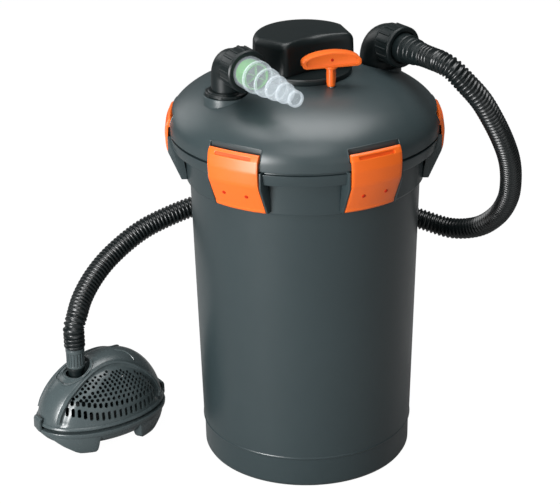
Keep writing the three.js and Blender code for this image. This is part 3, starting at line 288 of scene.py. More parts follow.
def hollowed(outside, inside):
    """A shell: rings from its foot up to a closed top, then rings from a closed ceiling down to the foot."""
    count = len(outside[0])
    points, faces = skin(outside + inside)
    top, under, last = (len(outside) - 1) * count, len(outside) * count, len(points) - count
    faces = [f for f in faces[:-2] if not top <= min(f) < under <= max(f)]
    faces += [tuple(range(top, top + count)), tuple(range(under, under + count))]
    faces += [(j, (j + 1) % count, last + (j + 1) % count, last + j) for j in range(count)]
    return points, faces


def rounded(corners, steps=4):
    """A closed outline with its corners eased: each is (x, y) or (x, y, radius)."""
    points = []
    for i, (x, y, *ease) in enumerate(corners):
        if not ease:
            points.append((x, y))
            continue
        here = Vector((x, y))
        before = Vector(corners[i - 1][:2]) - here
        after = Vector(corners[(i + 1) % len(corners)][:2]) - here
        reach = ease[0] / math.tan(max(before.angle(after), 0.2) / 2)
        reach = min(reach, 0.49 * before.length, 0.49 * after.length)
        a, b = here + before.normalized() * reach, here + after.normalized() * reach
        for k in range(steps + 1):
            t = k / steps
            points.append(tuple(a * (1 - t) ** 2 + here * 2 * t * (1 - t) + b * t * t))
    return points


def turned(profile, sides, looped=False):
    """A [radius, height] profile turned about Z."""
    outline = rounded(profile)
    return skin([[(r * math.sin(a), -r * math.cos(a), z) for a in around(sides)] for r, z in outline], looped)


def lathed(profile, sides):
    """A closed [radius, height] outline turned about Z."""
    return turned(profile, sides, looped=True)


def laid(form):
    """A form made about Z, laid along X."""
    return [(z, y, -x) for x, y, z in form[0]], form[1]


def sideways(outline, width, middle=0.0):
    """An outline of [outward, up] corners across X: outward is -Y."""
    return skin([[(middle + side * width / 2, -out, up) for out, up in rounded(outline)] for side in (-1, 1)])


def bowed(outline, width, bow, steps=16):
    """An outline of [outward, up] corners across X whose middle stands out by bow(out, up)."""
    rings = []
    for k in range(steps + 1):
        x = width * (k / steps - 0.5)
        share = 1 - (2 * x / width) ** 2
        rings.append([(x, -out - bow(out, up) * share, up) for out, up in rounded(outline)])
    return skin(rings)


def upright(outline, low, high):
    """A plan outline drawn up from one height to another."""
    return skin([[(x, y, z) for x, y in rounded(outline)] for z in (low, high)])


def joined(*forms):
    points, faces = [], []
    for more, sides in forms:
        faces += [tuple(i + len(points) for i in face) for face in sides]
        points += more
    return points, faces


def placed(form, matrix):
    return [tuple(matrix @ Vector(p)) for p in form[0]], form[1]


def turn(degrees, axis="Z"):
    return Matrix.Rotation(math.radians(degrees), 4, axis)


def shift(x=0.0, y=0.0, z=0.0):
    return Matrix.Translation((x, y, z))


def spun(form, count, axis="Z"):
    """Copies of a form, evenly round an axis."""
    return joined(*[placed(form, turn(360 / count * k, axis)) for k in range(count)])


def mesh_of(name, form):
    mesh = bpy.data.meshes.new(name)
    mesh.from_pydata([Vector(p) * MM for p in form[0]], [], form[1])
    work = bmesh.new()
    work.from_mesh(mesh)
    bmesh.ops.remove_doubles(work, verts=work.verts, dist=WELD)
    bmesh.ops.recalc_face_normals(work, faces=work.faces)
    work.to_mesh(mesh)
    work.free()
    return mesh


def object_of(name, mesh):
    thing = bpy.data.objects.new(name, mesh)
    bpy.context.scene.collection.objects.link(thing)
    return thing


def settled(thing):
    """The mesh that an object's modifiers give."""
    depsgraph = bpy.context.evaluated_depsgraph_get()
    return bpy.data.meshes.new_from_object(thing.evaluated_get(depsgraph))


def carved(form, *cutters):
    """A form less its cutters, as a form."""
    body = object_of("body", mesh_of("body", form))
    for cutter in cutters:
        tool = object_of("tool", mesh_of("tool", cutter))
        step = body.modifiers.new("cut", "BOOLEAN")
        step.operation = "DIFFERENCE"
        step.solver = "MANIFOLD"
        step.object = tool
        mesh = settled(body)
        body.modifiers.clear()
        body.data = mesh
        bpy.data.objects.remove(tool)
    mesh = body.data
    result = [tuple(v.co / MM) for v in mesh.vertices], [tuple(p.vertices) for p in mesh.polygons]
    bpy.data.objects.remove(body)
    return result


def dressed(name, form, finish, bevel=0.0, smooth=35):
    """The mesh of a form, with eased edges, smooth shading and its finish."""
    mesh = mesh_of(name, form)
    if bevel:
        thing = object_of(name, mesh)
        ease = thing.modifiers.new("edges", "BEVEL")
        ease.width = bevel * MM
        ease.segments = 2
        ease.limit_method = "ANGLE"
        ease.angle_limit = math.radians(40)
        mesh = settled(thing)
        bpy.data.objects.remove(thing)
    mesh.materials.clear()
    mesh.materials.append(finish)
    mesh.shade_smooth()
    mesh.set_sharp_from_angle(angle=math.radians(smooth))
    return mesh


def shown(name, mesh, body, nodes, slot, place=Matrix()):
    """A shown piece: it rides on its body, in place of CAD nodes."""
    thing = object_of(name, mesh)
    thing.matrix_world = place
    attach(thing, body)
    if nodes:
        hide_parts(*nodes)
    return thing


def piece(name, form, finish, body, *nodes, slot=None, **looks):
    return shown(name, dressed(name, form, finish, **looks), body, nodes, slot or SLOT_OF[finish])


# ---- ribbed hose

ELBOW = 119
INLET_TURN, PUMP_TURN = 6, 4
INLET_AXIS, OUTLET_AXIS = 589, 599
HOSE_START, PUMP_HOSE_START, HOSE_STRAIGHT = 100.3, 147.3, 30
HOSE_BORE, HOSE_RADIUS, RIB_RISE = 11.2, 12.8, 2.7
RIBS, RIB_WAVE, HOSE_SIDES = 200, [0.0, 0.55, 1.0, 1.0, 0.55, 0.0], 22
PUMP_X, PUMP_Y, NECK = -254.2, 168.7, -35.7
HOSE_ROUTE = [
    (140, -145, 583), (157, -157, 562), (178, -161, 537), (202, -157, 503), (227, -147, 466),
    (252, -130, 427), (275, -105, 384), (294, -74, 339), (302, -38, 298), (297, 2, 267),
    (277, 40, 255), (249, 74, 262), (214, 110, 275), (170, 150, 289), (118, 187, 298),
    (62, 217, 299), (8, 238, 294), (-45, 249, 287), (-91, 252, 278), (-135, 250, 267),
    (-175, 242, 252), (-210, 229, 237), (-240, 212, 221), (-264, 193, 205), (-281, 174, 190),
]


def hose_points():
    """The route of the hose: straight off the inlet's tail, round the canister, straight down onto the pump."""
    bearing, lean = math.radians(INLET_TURN), math.radians(PUMP_TURN)
    out = Vector((math.sin(bearing), -math.cos(bearing), 0))
    inlet = Vector((ELBOW, 0, INLET_AXIS))
    pump = Vector((PUMP_X + NECK * math.cos(lean), PUMP_Y + NECK * math.sin(lean), PUMP_HOSE_START))
    steps = [0, HOSE_STRAIGHT / 3, HOSE_STRAIGHT * 2 / 3, HOSE_STRAIGHT]
    start = [inlet + out * (HOSE_START + step) for step in steps]
    end = [pump + Vector((0, 0, step)) for step in reversed(steps)]
    return start + [Vector(p) for p in HOSE_ROUTE] + end


def smooth_route(knots, count):
    """Evenly spaced points along a centripetal curve through the knots."""
    knots = [knots[0] * 2 - knots[1]] + knots + [knots[-1] * 2 - knots[-2]]
    dense = []
    for a, b, c, d in zip(knots, knots[1:], knots[2:], knots[3:]):
        gaps = [(q - p).length ** 0.5 for p, q in ((a, b), (b, c), (c, d))]
        start = ((b - a) / gaps[0] - (c - a) / (gaps[0] + gaps[1]) + (c - b) / gaps[1]) * gaps[1]
        end = ((c - b) / gaps[1] - (d - b) / (gaps[1] + gaps[2]) + (d - c) / gaps[2]) * gaps[1]
        for k in range(60):
            t = k / 60
            dense.append(b + start * t + ((c - b) * 3 - start * 2 - end) * t**2 + ((b - c) * 2 + start + end) * t**3)
    dense.append(knots[-2])
    reach = [0.0]
    for p, q in zip(dense, dense[1:]):
        reach.append(reach[-1] + (q - p).length)
    points, i = [], 0
    for k in range(count + 1):
        goal = reach[-1] * k / count
        while i < len(dense) - 2 and reach[i + 1] < goal:
            i += 1
        share = (goal - reach[i]) / (reach[i + 1] - reach[i])
        points.append(dense[i].lerp(dense[i + 1], share))
    return points, reach[-1]


def along(points, radii, sides):
    """Rings along a line that turn as little as they can."""
    rings = []
    across = Vector((0.1, 0.2, 1))
    for i, point in enumerate(points):
        ahead = (points[min(i + 1, len(points) - 1)] - points[max(i - 1, 0)]).normalized()
        across = (across - ahead * across.dot(ahead)).normalized()
        up = ahead.cross(across)
        rings.append([point + (across * math.cos(a) + up * math.sin(a)) * radii[i] for a in around(sides)])
    return rings


def bead(knots, count, radius, sides):
    """A round bead along a smooth line through knots."""
    points = smooth_route(knots, count)[0]
    return skin(along(points, [radius] * len(points), sides))


def make_hose():
    rows = len(RIB_WAVE)
    points, length = smooth_route(hose_points(), RIBS * rows)
    radii = [HOSE_RADIUS + RIB_RISE * RIB_WAVE[i % rows] for i in range(len(points))]
    radii[0] = radii[-1] = HOSE_RADIUS
    bore = points[::rows]
    outside = along(points, radii, HOSE_SIDES)
    inside = along(bore, [HOSE_BORE] * len(bore), HOSE_SIDES)
    form = skin(outside + inside[::-1], looped=True)
    hose = piece("supply_hose_ribs", form, hose_black, "canister", "supply_hose", smooth=50)
    path = [tuple(p * MM) for p in points[::4]]
    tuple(path[0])
    length * MM


make_hose()


# ---- canister tub

CLIPS = 6
RIM = 484.4
LID_FOOT = 484.8
CHEEK_IN, CHEEK_OUT = 38.2, 41.0


def make_tub():
    outside = [
        (140, 0), (145, 0, 2.5), (148, 5, 3), (148.4, 43, 0.5), (150.4, 44.6, 0.8), (150.4, 46.4, 0.8),
        (149.8, 47.4, 0.4), (159, 418.4, 1), (164.4, 418.4, 0.6), (165.1, 420.6, 0.8), (167.5, 480, 1.5),
        (179, 480, 1.5), (179, 466, 1), (182.5, 466, 1.2), (185.3, 481.4, 0.5), (181.6, 481.9, 0.3), (181.4, RIM),
    ]
    inside = [(156, RIM), (156, 404, 0.6), (153.8, 404, 0.6), (143.5, 6, 4), (140, 6)]
    groove = lathed([(159.7, 479.7), (166.3, 479.7), (166.3, RIM + 2), (159.7, RIM + 2)], 192)
    bay = [
        (160, 417.5), (200, 417.5), (200, RIM + 2), (177.5, RIM + 2), (177.5, 458, 4), (166.5, 438, 5), (160, 432, 3),
    ]
    shell = carved(turned(outside + inside, 192), groove, spun(sideways(bay, 2 * CHEEK_IN), CLIPS))
    piece("tub_shell", shell, slate, "canister", "canister_tub", smooth=28)
    edge = [(160.4, 422), (168.2, 422, 1), (185.5, 462, 9), (185.5, RIM, 1), (170, RIM), (161, 432)]
    width, middle = CHEEK_OUT - CHEEK_IN, (CHEEK_IN + CHEEK_OUT) / 2
    cheeks = joined(sideways(edge, width, -middle), sideways(edge, width, middle))
    piece("hinge_cheeks", spun(cheeks, CLIPS), slate, "canister", bevel=0.7)


make_tub()


# ---- lid

LID_RADIUS, LID_BAND, LID_APEX = 186, 496, 565.5
POCKET_BOW, POCKET_WIDTH = 3.2, 78
SEAT_RADIUS, BOSS_TOP = 66.5, 552
ROD_Y = -71


def dome(radius, inset=0.0):
    """Height of the lid's dome at a radius."""
    share = min(1, radius / (LID_RADIUS - inset))
    rise = LID_APEX - LID_BAND - inset / 2
    return LID_BAND - inset / 2 + rise * (1 - share**2.36) ** 0.5225


SEAT = dome(SEAT_RADIUS)


def at_elbows(form):
    """A form made about the axis, at both elbows."""
    return joined(*[placed(form, shift(x)) for x in (-ELBOW, ELBOW)])


def make_lid():
    shares = [math.sin(math.pi / 2 * k / 40) for k in range(39, 13, -1)]
    profile = [(172, LID_FOOT), (184.9, LID_FOOT, 0.4), (186, LID_FOOT + 1, 0.6), (LID_RADIUS, LID_BAND)]
    profile += [(LID_RADIUS * s, dome(LID_RADIUS * s)) for s in shares if LID_RADIUS * s > SEAT_RADIUS + 1]
    profile += [(SEAT_RADIUS, SEAT), (51.5, SEAT, 1), (51, SEAT - 1), (51, SEAT - 3.4)]
    profile += [(radius, dome(radius, inset)) for radius, inset in ((62, 4), (100, 4), (140, 4), (166, 5))]
    profile += [(172, 503), (172, 499), (156, 491), (156, LID_FOOT)]
    pocket = [
        (183, LID_FOOT - 2), (205, LID_FOOT - 2), (205, 522), (176, 522), (176, 510), (176, 498.3), (183, 495.6, 0.6),
    ]
    cutter = bowed(pocket, POCKET_WIDTH, lambda out, up: POCKET_BOW if up > 509 and out < 180 else 0)
    rod_hole = placed(turned([(5.4, 500), (5.4, 580)], 32), shift(y=ROD_Y))
    wells, bores = [at_elbows(turned([(r, low), (r, 600)], 64)) for r, low in ((31.6, BOSS_TOP), (24.3, 500))]
    shell = carved(lathed(profile, 192), joined(spun(cutter, CLIPS), rod_hole), wells, bores)
    piece("lid_shell", shell, lid_slate_painted_light, "canister", "lid_dome", smooth=28)
    boss = [
        (17.6, 518), (25, 518, 1), (25, 536), (31.6, 538), (31.6, BOSS_TOP, 1.2), (29, BOSS_TOP, 0.6),
        (28.6, BOSS_TOP - 0.6), (24.6, BOSS_TOP - 0.6, 0.4), (24.6, 546), (17.6, 546),
    ]
    half = POCKET_WIDTH / 2
    left = [(-half, -181.6), (-half, -180.5), (-half, -178.5), (-half, -176.6)]
    brow = [-38.4 + 76.8 * k / 16 for k in range(17)]
    brow = [(x, -176 - POCKET_BOW * (1 - (x / half) ** 2)) for x in brow]
    edge = left + brow + [(-x, y) for x, y in reversed(left)]
    lip = bead([Vector((x, y, dome(math.hypot(x, y)))) for x, y in edge], 60, 0.75, 8)
    piece("lid_bosses", joined(at_elbows(lathed(boss, 64)), spun(lip, CLIPS)), lid_slate_painted_light, "canister")


make_lid()


# ---- clips


def clip_bow(out, up):
    """How far the middle of a clip stands out: as far as the collar below, less at its top, nothing at its pin."""
    if up < 431 and out < 165.5:
        return 0.0
    return 4.2 - 2.7 * max(0.0, up - 432) / 76


def make_clips():
    outline = [
        (166.4, 421.6, 1.5), (169.3, 424, 2), (170.2, 428, 4), (187.2, 465, 26), (188.8, 484.4, 26),
        (187.2, 499.2, 3), (184.2, 505.8, 1), (181, 508.2, 1.4), (178, 503.8, 1), (178, 498.6, 0.6),
        (184, 496.3, 0.8), (184.8, 484.4, 20), (183.2, 466, 20), (166.1, 433.2, 3), (163, 430.4, 1.5),
        (160.5, 427, 2), (161, 423.4, 2), (163.6, 421.5, 1.5),
    ]
    bar = [(-27, -2.3, 2.2), (27, -2.3, 2.2), (27, 2.3, 2.2), (-27, 2.3, 2.2)]
    # The sheet on the groove's floor is painted shade: deeper orange where the groove lies in shadow.
    inlay = [(x * 0.995, y * 0.93, 2.1) for x, y, _ in bar]
    level = shift(y=-186.8, z=502) @ turn(65.5, "X")
    plate = carved(bowed(outline, 75, clip_bow), placed(upright(bar, -1.6, 6), level))
    floor = placed(upright(inlay, -3, -1.2), level)
    dot = turned([(0.05, -1), (2.6, -1), (2.6, 0.5, 0.3), (2, 0.85, 0.4), (0.05, 1)], 20)
    lean = shift(y=-181.7, z=446.8) @ turn(114.7, "X")
    dots = joined(*[placed(dot, lean @ shift(x)) for x in (-17, 17)])
    pin = placed(laid(turned([(2.4, -39), (2.4, 39)], 24)), shift(y=-165, z=426))
    plate = dressed("clip_plate", plate, orange, bevel=0.8, smooth=30)
    details = [("inlay", floor, groove_shade_orange), ("marks", dots, mark_red), ("pin", pin, orange)]
    details = [(part, dressed(f"clip_{part}", form, finish, smooth=30)) for part, form, finish in details]
    for i in range(CLIPS):
        name, place = f"clip_{i + 1}", turn(360 / CLIPS * i)
        shown(f"{name}_plate", plate, name, [name], "clip_orange", place)
        for part, mesh in details:
            shown(f"{name}_{part}", mesh, name, [], "clip_orange", place)


make_clips()


# ---- lamp head

HEAD_TOP, HEAD_FOOT = 616.5, 574
BASE_FOOT = SEAT + 0.3


def head_outline():
    """Plan of the head: a large arc behind, two flats, rounded corners, a front that curves in."""
    start = math.atan2(11, 69)
    points = []
    for i in range(49):
        angle = start + (math.pi - 2 * start) * i / 48
        points.append((70 * math.cos(angle), 70 * math.sin(angle)))
    front = [(-42 + 92 * k / 16, -36 - k / 16 + 9.5 * (1 - (2 * k / 16 - 1) ** 2)) for k in range(17)]
    left = rounded([(-68.7, 11), (-51, -36.6, 15), front[2]], steps=10)[1:-1]
    right = rounded([front[-2], (58, -37.5, 9), (68.7, 11)], steps=8)[1:-1]
    return points + left + front[2:-1] + right


def inset_rings(outline, steps):
    """Rings of a plan outline drawn in by a distance, at heights."""
    reach = [Vector(point).length for point in outline]
    return [
        [(x * (1 - inset / r), y * (1 - inset / r), z) for (x, y), r in zip(outline, reach)] for inset, z in steps
    ]


def make_head():
    outline = head_outline()
    brow = HEAD_TOP - 11
    curve = [(0, HEAD_FOOT), (0, HEAD_FOOT + 1.2), (1.0, brow)]
    for angle in (0.2, 0.4, 0.6, 0.8, 1, 1.2, 1.4):
        curve.append((1.0 + 10 * (1 - math.cos(angle)), brow + 11.2 * math.sin(angle)))
    curve += [(12.5, HEAD_TOP + 0.5), (17, HEAD_TOP + 0.8)]
    inner = [(17, HEAD_TOP - 3), (5.5, HEAD_TOP - 12), (3.2, HEAD_FOOT)]
    cover = hollowed(inset_rings(outline, curve), inset_rings(outline, inner))
    piece("head_cover_shell", cover, black, "uv_head", "uv_head_cover", smooth=40)
    plate = skin(inset_rings(outline, [(2.4, 569.5), (2, 570), (2, 573), (2.4, 573.6)]))
    ring = [(21, BASE_FOOT), (64.5, BASE_FOOT, 0.8), (64.8, 568.5, 1.5), (62.5, 570.2, 0.6), (21, 570.2)]
    sleeve = [
        (44.3, 546.6, 1), (49, 546.6, 1), (49, 553.8), (46.9, 553.8), (46.9, 557.2), (49, 557.2), (49, 563.5),
        (44.3, 563.5),
    ]
    neck = [(18.4, 546.8), (25, 546.8), (25, 564), (21, 564), (21, 550.8), (18.4, 550.8)]
    base = joined(plate, lathed(ring, 96), lathed(sleeve, 96), lathed(neck, 48))
    piece("head_base_ring", base, black, "uv_head", "uv_head_base")
    gland = [
        (0.05, 0), (9, 0, 0.5), (9, 5, 0.8), (7.6, 5.8, 0.4), (7.2, 9, 0.4), (6.2, 17, 0.8), (3.2, 17, 0.3), (3.2, 4),
        (0.05, 4),
    ]
    rib = upright([(-0.7, 6.6), (0.7, 6.6), (0.6, 8.0), (-0.6, 8.0)], 5.6, 12)
    form = placed(joined(turned(gland, 40), spun(rib, 10)), shift(0, 69.95, 588) @ turn(-90, "X"))
    piece("head_gland", form, black, "uv_head", "uv_cable_gland")


make_head()


# ---- lift handle


def make_handle():
    half, low, high, depth, recess = 39.5, 589.5, 610.0, 16.0, 1.7
    arch = []
    for i in range(25):
        angle = (1 - 2 * i / 24) * math.pi / 2
        arch.append((half * math.sin(angle), low + 8 + (high - low - 8) * math.cos(angle) ** 1.2))
    foot = [(-half, low + 3.6), (-half + 0.8, low + 1.6), (-half + 4.5, low)]
    outline = arch + foot + [(-x, z) for x, z in reversed(foot)]
    middle = low + 9
    inner = [(x * 0.885, middle + (z - middle) * (0.78 if z > middle else 0.66)) for x, z in outline]

    def slab(points, near, far):
        return skin([[(x, y, z) for x, z in points] for y in (near, far)])

    grip = carved(slab(outline, -depth / 2, depth / 2), slab(inner, -depth / 2 - 2, -depth / 2 + recess))
    grip = carved(grip, slab(inner, depth / 2 - recess, depth / 2 + 2))
    place = shift(y=ROD_Y) @ turn(-17)
    piece("lift_grip", placed(grip, place), orange, "cleaning", "cleaning_handle", bevel=0.8, smooth=30)
    stem = turned([(0.05, 561.8), (5.1, 561.8, 0.4), (5.7, 563.5, 0.6), (5.7, 591), (0.05, 591)], 40)
    collar = turned([(0.05, 586.8), (9, 586.8, 1), (9, 590), (0.05, 590)], 40)
    ribs = spun(sideways([(4.9, 566), (6.2, 566.6), (6.4, 590), (4.9, 590)], 1.5), 4)
    piece("lift_stem", placed(joined(stem, collar, ribs), place), orange, "cleaning")
    dot = turned([(0.05, -1), (2.0, -1), (2.0, 0.4, 0.3), (0.05, 0.6)], 20)
    dot = placed(dot, shift(0, -depth / 2 + 1.6, low + 10) @ turn(90, "X"))
    piece("lift_mark", placed(dot, place), mark_red, "cleaning")


make_handle()


# ---- elbows, nuts and tails

ELBOW_RADIUS, ELBOW_BORE, TAIL_WALL = 20.3, 14.6, 2.2
OUTLET_NUT, INLET_NUT, NUT_REACH, GASKET = 33.0, 25.5, 17.7, 2.4
CLEAR_STEPS = [(21.6, 88), (19, 114), (16.2, 138), (13.4, 160), (10.6, 186)]
BLACK_STEPS, BLACK_SPOUT = [(20, 66), (17.8, 82), (15.6, 100)], [(10.0, 100), (10.0, 120.3)]


def bend(radius, foot, axis, reach, mouth, steps=14, sides=56):
    """A pipe from straight up to along +X, as rings."""
    stations = [(0, foot, 0.0)]
    for i in range(steps + 1):
        angle = math.pi / 2 * i / steps
        stations.append((reach * (1 - math.cos(angle)), axis - reach + reach * math.sin(angle), angle))
    stations.append((mouth, axis, math.pi / 2))
    rings = []
    for x, z, angle in stations:
        across, middle = Vector((math.cos(angle), 0, -math.sin(angle))), Vector((x, 0, z))
        rings.append([
            middle + across * radius * math.cos(a) + Vector((0, radius * math.sin(a), 0)) for a in around(sides)
        ])
    return rings


def spigot(foot):
    """The sleeve under an elbow, with a groove for its seal."""
    top, seal = 546.3, BOSS_TOP - 15
    profile = [
        (ELBOW_BORE, foot), (17.2, foot), (17.2, seal), (15.6, seal), (15.6, seal + 4.2), (17.2, seal + 4.2),
        (17.2, top), (24, top), (24, BOSS_TOP - 0.6), (ELBOW_BORE, BOSS_TOP - 0.6),
    ]
    return lathed(profile, 56)


def nut(start):
    """A union nut with grip ribs, a chamfered face and a lip that holds the tail."""
    end = start + 29.0
    outside = [
        (20.7, start), (27, start, 1.2), (27.4, start + 1.5), (27.4, start + 22.5), (28.6, start + 24, 0.8),
        (28.6, start + 27, 1), (26.8, end, 0.8), (22.3, end, 0.5), (22.3, end - 4), (24.4, end - 4),
        (24.4, start + 4), (20.7, start + 4),
    ]
    rib = rounded([(27, -2.3), (28.7, -1.6, 0.8), (28.7, 1.6, 0.8), (27, 2.3)])
    rib = skin([[(x, -y, z) for z, y in rib] for x in (start + 1.5, start + 23.4)])
    return joined(laid(lathed(outside, 96)), spun(rib, 16, "X"))


def tail(start, steps, spout=()):
    """A hose tail: a flange for the nut, steps with a fine ring at each, and a plain spout."""
    profile = [(24, start), (24, start + 4), (steps[0][0], start + 4)]
    for i, (radius, stop) in enumerate(steps):
        begin = profile[-1][1]
        if i:
            middle = (begin + stop) / 2
            profile += [(radius + 0.9, begin + 0.1), (radius + 0.9, begin + 1.6), (radius, begin + 2.2)]
            profile += [(radius, middle - 1), (radius + 0.6, middle), (radius, middle + 1)]
        profile += [(radius, stop - 1.2), (radius - 0.8, stop)]
    profile += spout
    inner = [(profile[-1][0] - TAIL_WALL, profile[-1][1])]
    inner += [(radius - TAIL_WALL - 0.5, stop - 2) for radius, stop in reversed(steps[:-1])]
    inner += [(inner[-1][0], start)]
    return laid(lathed(profile + inner, 72))


def tail_rims(steps):
    """The raised rims at the steps of a tail and the ring round its mouth."""
    rims = []
    for (radius, stop), (after, _) in zip(steps, steps[1:]):
        rims.append([
            (after + 0.2, stop + 0.35), (radius + 0.15, stop + 0.1), (radius + 0.35, stop - 2.4),
            (radius - 0.2, stop - 2.4), (radius - 0.3, stop - 1), (after + 0.2, stop - 0.6),
        ])
    tip, end = steps[-1]
    rims.append([(tip - 2.4, end + 0.1), (tip + 0.1, end + 0.1), (tip + 0.2, end - 3), (tip - 2.4, end - 3)])
    return laid(joined(*[lathed(rim, 72) for rim in rims]))


def indicator(start, end):
    """A ribbed sleeve inside the clear tail, with vanes across it."""
    profile, count = [(15.4, start)], 7
    pitch = (end - start) / count
    for i in range(count):
        x = start + pitch * i
        profile += [(17.9, x), (17.9, x + pitch * 0.5), (16.6, x + pitch * 0.58), (16.6, x + pitch * 0.95)]
    profile += [(16.6, end), (15.4, end)]
    vane = skin([[(x, -0.6, -15.6), (x, 0.6, -15.6), (x, 0.6, 15.6), (x, -0.6, 15.6)] for x in (start + 2, end - 1)])
    return joined(laid(lathed(profile, 48)), *[placed(vane, turn(60 * k, "X")) for k in range(3)])


def make_outlet():
    here = shift(-ELBOW) @ turn(-90)
    level = here @ shift(z=OUTLET_AXIS)
    mouth = OUTLET_NUT + NUT_REACH
    outside, inside = [bend(radius, BOSS_TOP - 3, OUTLET_AXIS, 23, mouth) for radius in (ELBOW_RADIUS, 14.7)]
    body = joined(skin(outside + inside[::-1], looped=True), spigot(530))
    piece("outlet_bend", placed(body, here), black, "outlet", "outlet_elbow")
    ring = [
        (20.9, 552.3), (28.8, 552.3, 0.6), (28.8, 555.6, 1), (27, 556.8, 0.8), (25.2, 557, 0.6), (24, 558.4, 0.6),
        (20.9, 558.4),
    ]
    knobs = spun(upright([(-3, 26), (-3, 29.2, 1), (3, 29.2, 1), (3, 26)], 552.4, 555.9), 8)
    ring = placed(joined(lathed(ring, 72), knobs), here)
    piece("outlet_ring", ring, black, "canister", "outlet_retaining_ring")
    piece("outlet_nut_ribbed", placed(nut(OUTLET_NUT), level), black, "outlet_nut", "outlet_union_nut", smooth=30)
    start = mouth + GASKET + 0.6
    form = placed(tail(start, CLEAR_STEPS), level)
    piece("outlet_tail_clear", form, clear, "outlet", "outlet_hose_tail", smooth=30)
    piece("outlet_tail_rims", placed(tail_rims(CLEAR_STEPS), level), frost, "outlet", smooth=30)
    sleeve = placed(indicator(start + 8, 85), level)
    piece("outlet_indicator", sleeve, green, "outlet", "flow_indicator", smooth=30)
    near, far = mouth + 0.3, mouth + 0.3 + GASKET
    washer = laid(lathed([(17.2, near, 0.5), (23.4, near, 0.5), (23.4, far, 0.5), (17.2, far, 0.5)], 48))
    piece("outlet_washer", placed(washer, level), rubber, "outlet", "outlet_gasket")


def make_inlet():
    here = shift(ELBOW) @ turn(INLET_TURN - 90)
    level = here @ shift(z=INLET_AXIS)
    mouth = INLET_NUT + NUT_REACH
    fat = skin(bend(26.4, BOSS_TOP + 0.3, INLET_AXIS, 28, 25))
    pipe = lathed([(ELBOW_BORE, 18), (ELBOW_RADIUS, 18), (ELBOW_RADIUS, mouth), (ELBOW_BORE, mouth)], 56)
    collar = lathed([(20, 21), (26.9, 21, 0.6), (26.9, 24.6, 0.6), (20, 24.6)], 64)
    seam = lathed([(20, 552.4), (27, 552.4, 0.4), (27, 554, 0.6), (25.5, 554.6), (20, 554.6)], 64)
    body = joined(fat, placed(laid(joined(pipe, collar)), shift(z=INLET_AXIS)), seam, spigot(506))
    piece("inlet_bend", placed(body, here), black, "canister", "inlet_elbow")
    piece("inlet_nut_ribbed", placed(nut(INLET_NUT), level), black, "inlet_nut", "inlet_union_nut", smooth=30)
    form = placed(tail(mouth + GASKET + 0.6, BLACK_STEPS, BLACK_SPOUT), level)
    piece("inlet_tail_black", form, black, "canister", "inlet_hose_tail", smooth=30)


make_outlet()
make_inlet()


# ---- pump

PUMP_PLACE = shift(PUMP_X, PUMP_Y) @ turn(PUMP_TURN)
DOME_FOOT, DOME_TOP, DOME_WALL = 40.3, 128, 5.4
HALF_LENGTH, HALF_WIDTH, LEAN = 98, 64, 18
SOCKET = 101
DISH_DEPTH, BEAD_STEP, HOLLOW = 2.2, 1.3, 2.7
ROW_MIDDLE, ROW_ENDS, ROW_STEP = -92.0, (-145.5, -37), 0.1
OPENING, SLOT_WIDTH, SLOT_HEIGHT = 5.6, 5.3, 13


def shell_point(share, angle, inset=0.0):
    """A point of the pump's dome: share 1 at its foot, 0 at its top."""
    rise = (1 - share**2.1) ** 0.58
    x = LEAN * (1 - share) + (HALF_LENGTH - inset) * share * math.cos(angle)
    y = (HALF_WIDTH - inset) * share * math.sin(angle)
    return Vector((x, y, DOME_FOOT + (DOME_TOP - inset - DOME_FOOT) * rise))


# The bead round the strainer, the strainer's own edge and the dish round the hose socket, as (share, degrees).
BEAD = [
    (0.986, -150.5), (0.956, -149.5), (0.907, -147.5), (0.845, -145.5), (0.767, -141.5), (0.662, -136), (0.524, -126),
    (0.433, -108), (0.436, -80), (0.541, -61), (0.678, -49), (0.829, -39), (0.924, -33.5), (0.976, -33.5),
    (0.99, -37.5),
]
STRAINER = [
    (0.983, -147), (0.920, -145.5), (0.809, -142), (0.662, -134.5), (0.534, -118.5), (0.511, -94), (0.616, -67.5),
    (0.708, -53), (0.842, -41.5), (0.940, -38),
]
BELOW = [(1.3, -38), (1.5, -65), (1.5, -90), (1.5, -115), (1.3, -147)]
DISH = [
    (0.705, 180), (0.721, -164.5), (0.691, -152.5), (0.603, -139.5), (0.465, -134.5), (0.344, -145.5), (0.295, 180),
]
# The spine over the top, in the same way.
SPINE = [(0.128, -41), (0.318, -35), (0.452, -39), (0.547, -44)]
# The lowest and the highest row of round openings and the row of slots, as (degrees, share).
LOW_ROW = [
    (-146, 0.870), (-127, 0.881), (-116, 0.901), (-104, 0.914), (-92.5, 0.920), (-80.5, 0.927), (-60, 0.930),
    (-36, 0.925),
]
TOP_ROW = [
    (-146, 0.78), (-130, 0.70), (-118, 0.658), (-108.5, 0.626), (-96, 0.619), (-84, 0.622), (-69.5, 0.645),
    (-55, 0.71), (-36, 0.82),
]
SLOT_ROW = [
    (-146, 0.932), (-130, 0.943), (-118, 0.963), (-106, 0.973), (-93.5, 0.976), (-83, 0.979), (-61, 0.979),
    (-49.5, 0.976), (-36, 0.95),
]


def chart(share, angle):
    """A place of the dome laid out flat, near its real lengths."""
    reach = math.asin(min(share, 1)) + max(0, share - 1)
    return HALF_LENGTH * reach * math.cos(angle), HALF_WIDTH * reach * math.sin(angle)


def charted(outline):
    return [chart(share, math.radians(angle)) for share, angle in outline]


BEAD_CHART = charted(BEAD + BELOW)
STRAINER_CHART = charted(STRAINER + BELOW)
DISH_CHART = charted(DISH + [(share, -angle) for share, angle in DISH[-2:0:-1]])


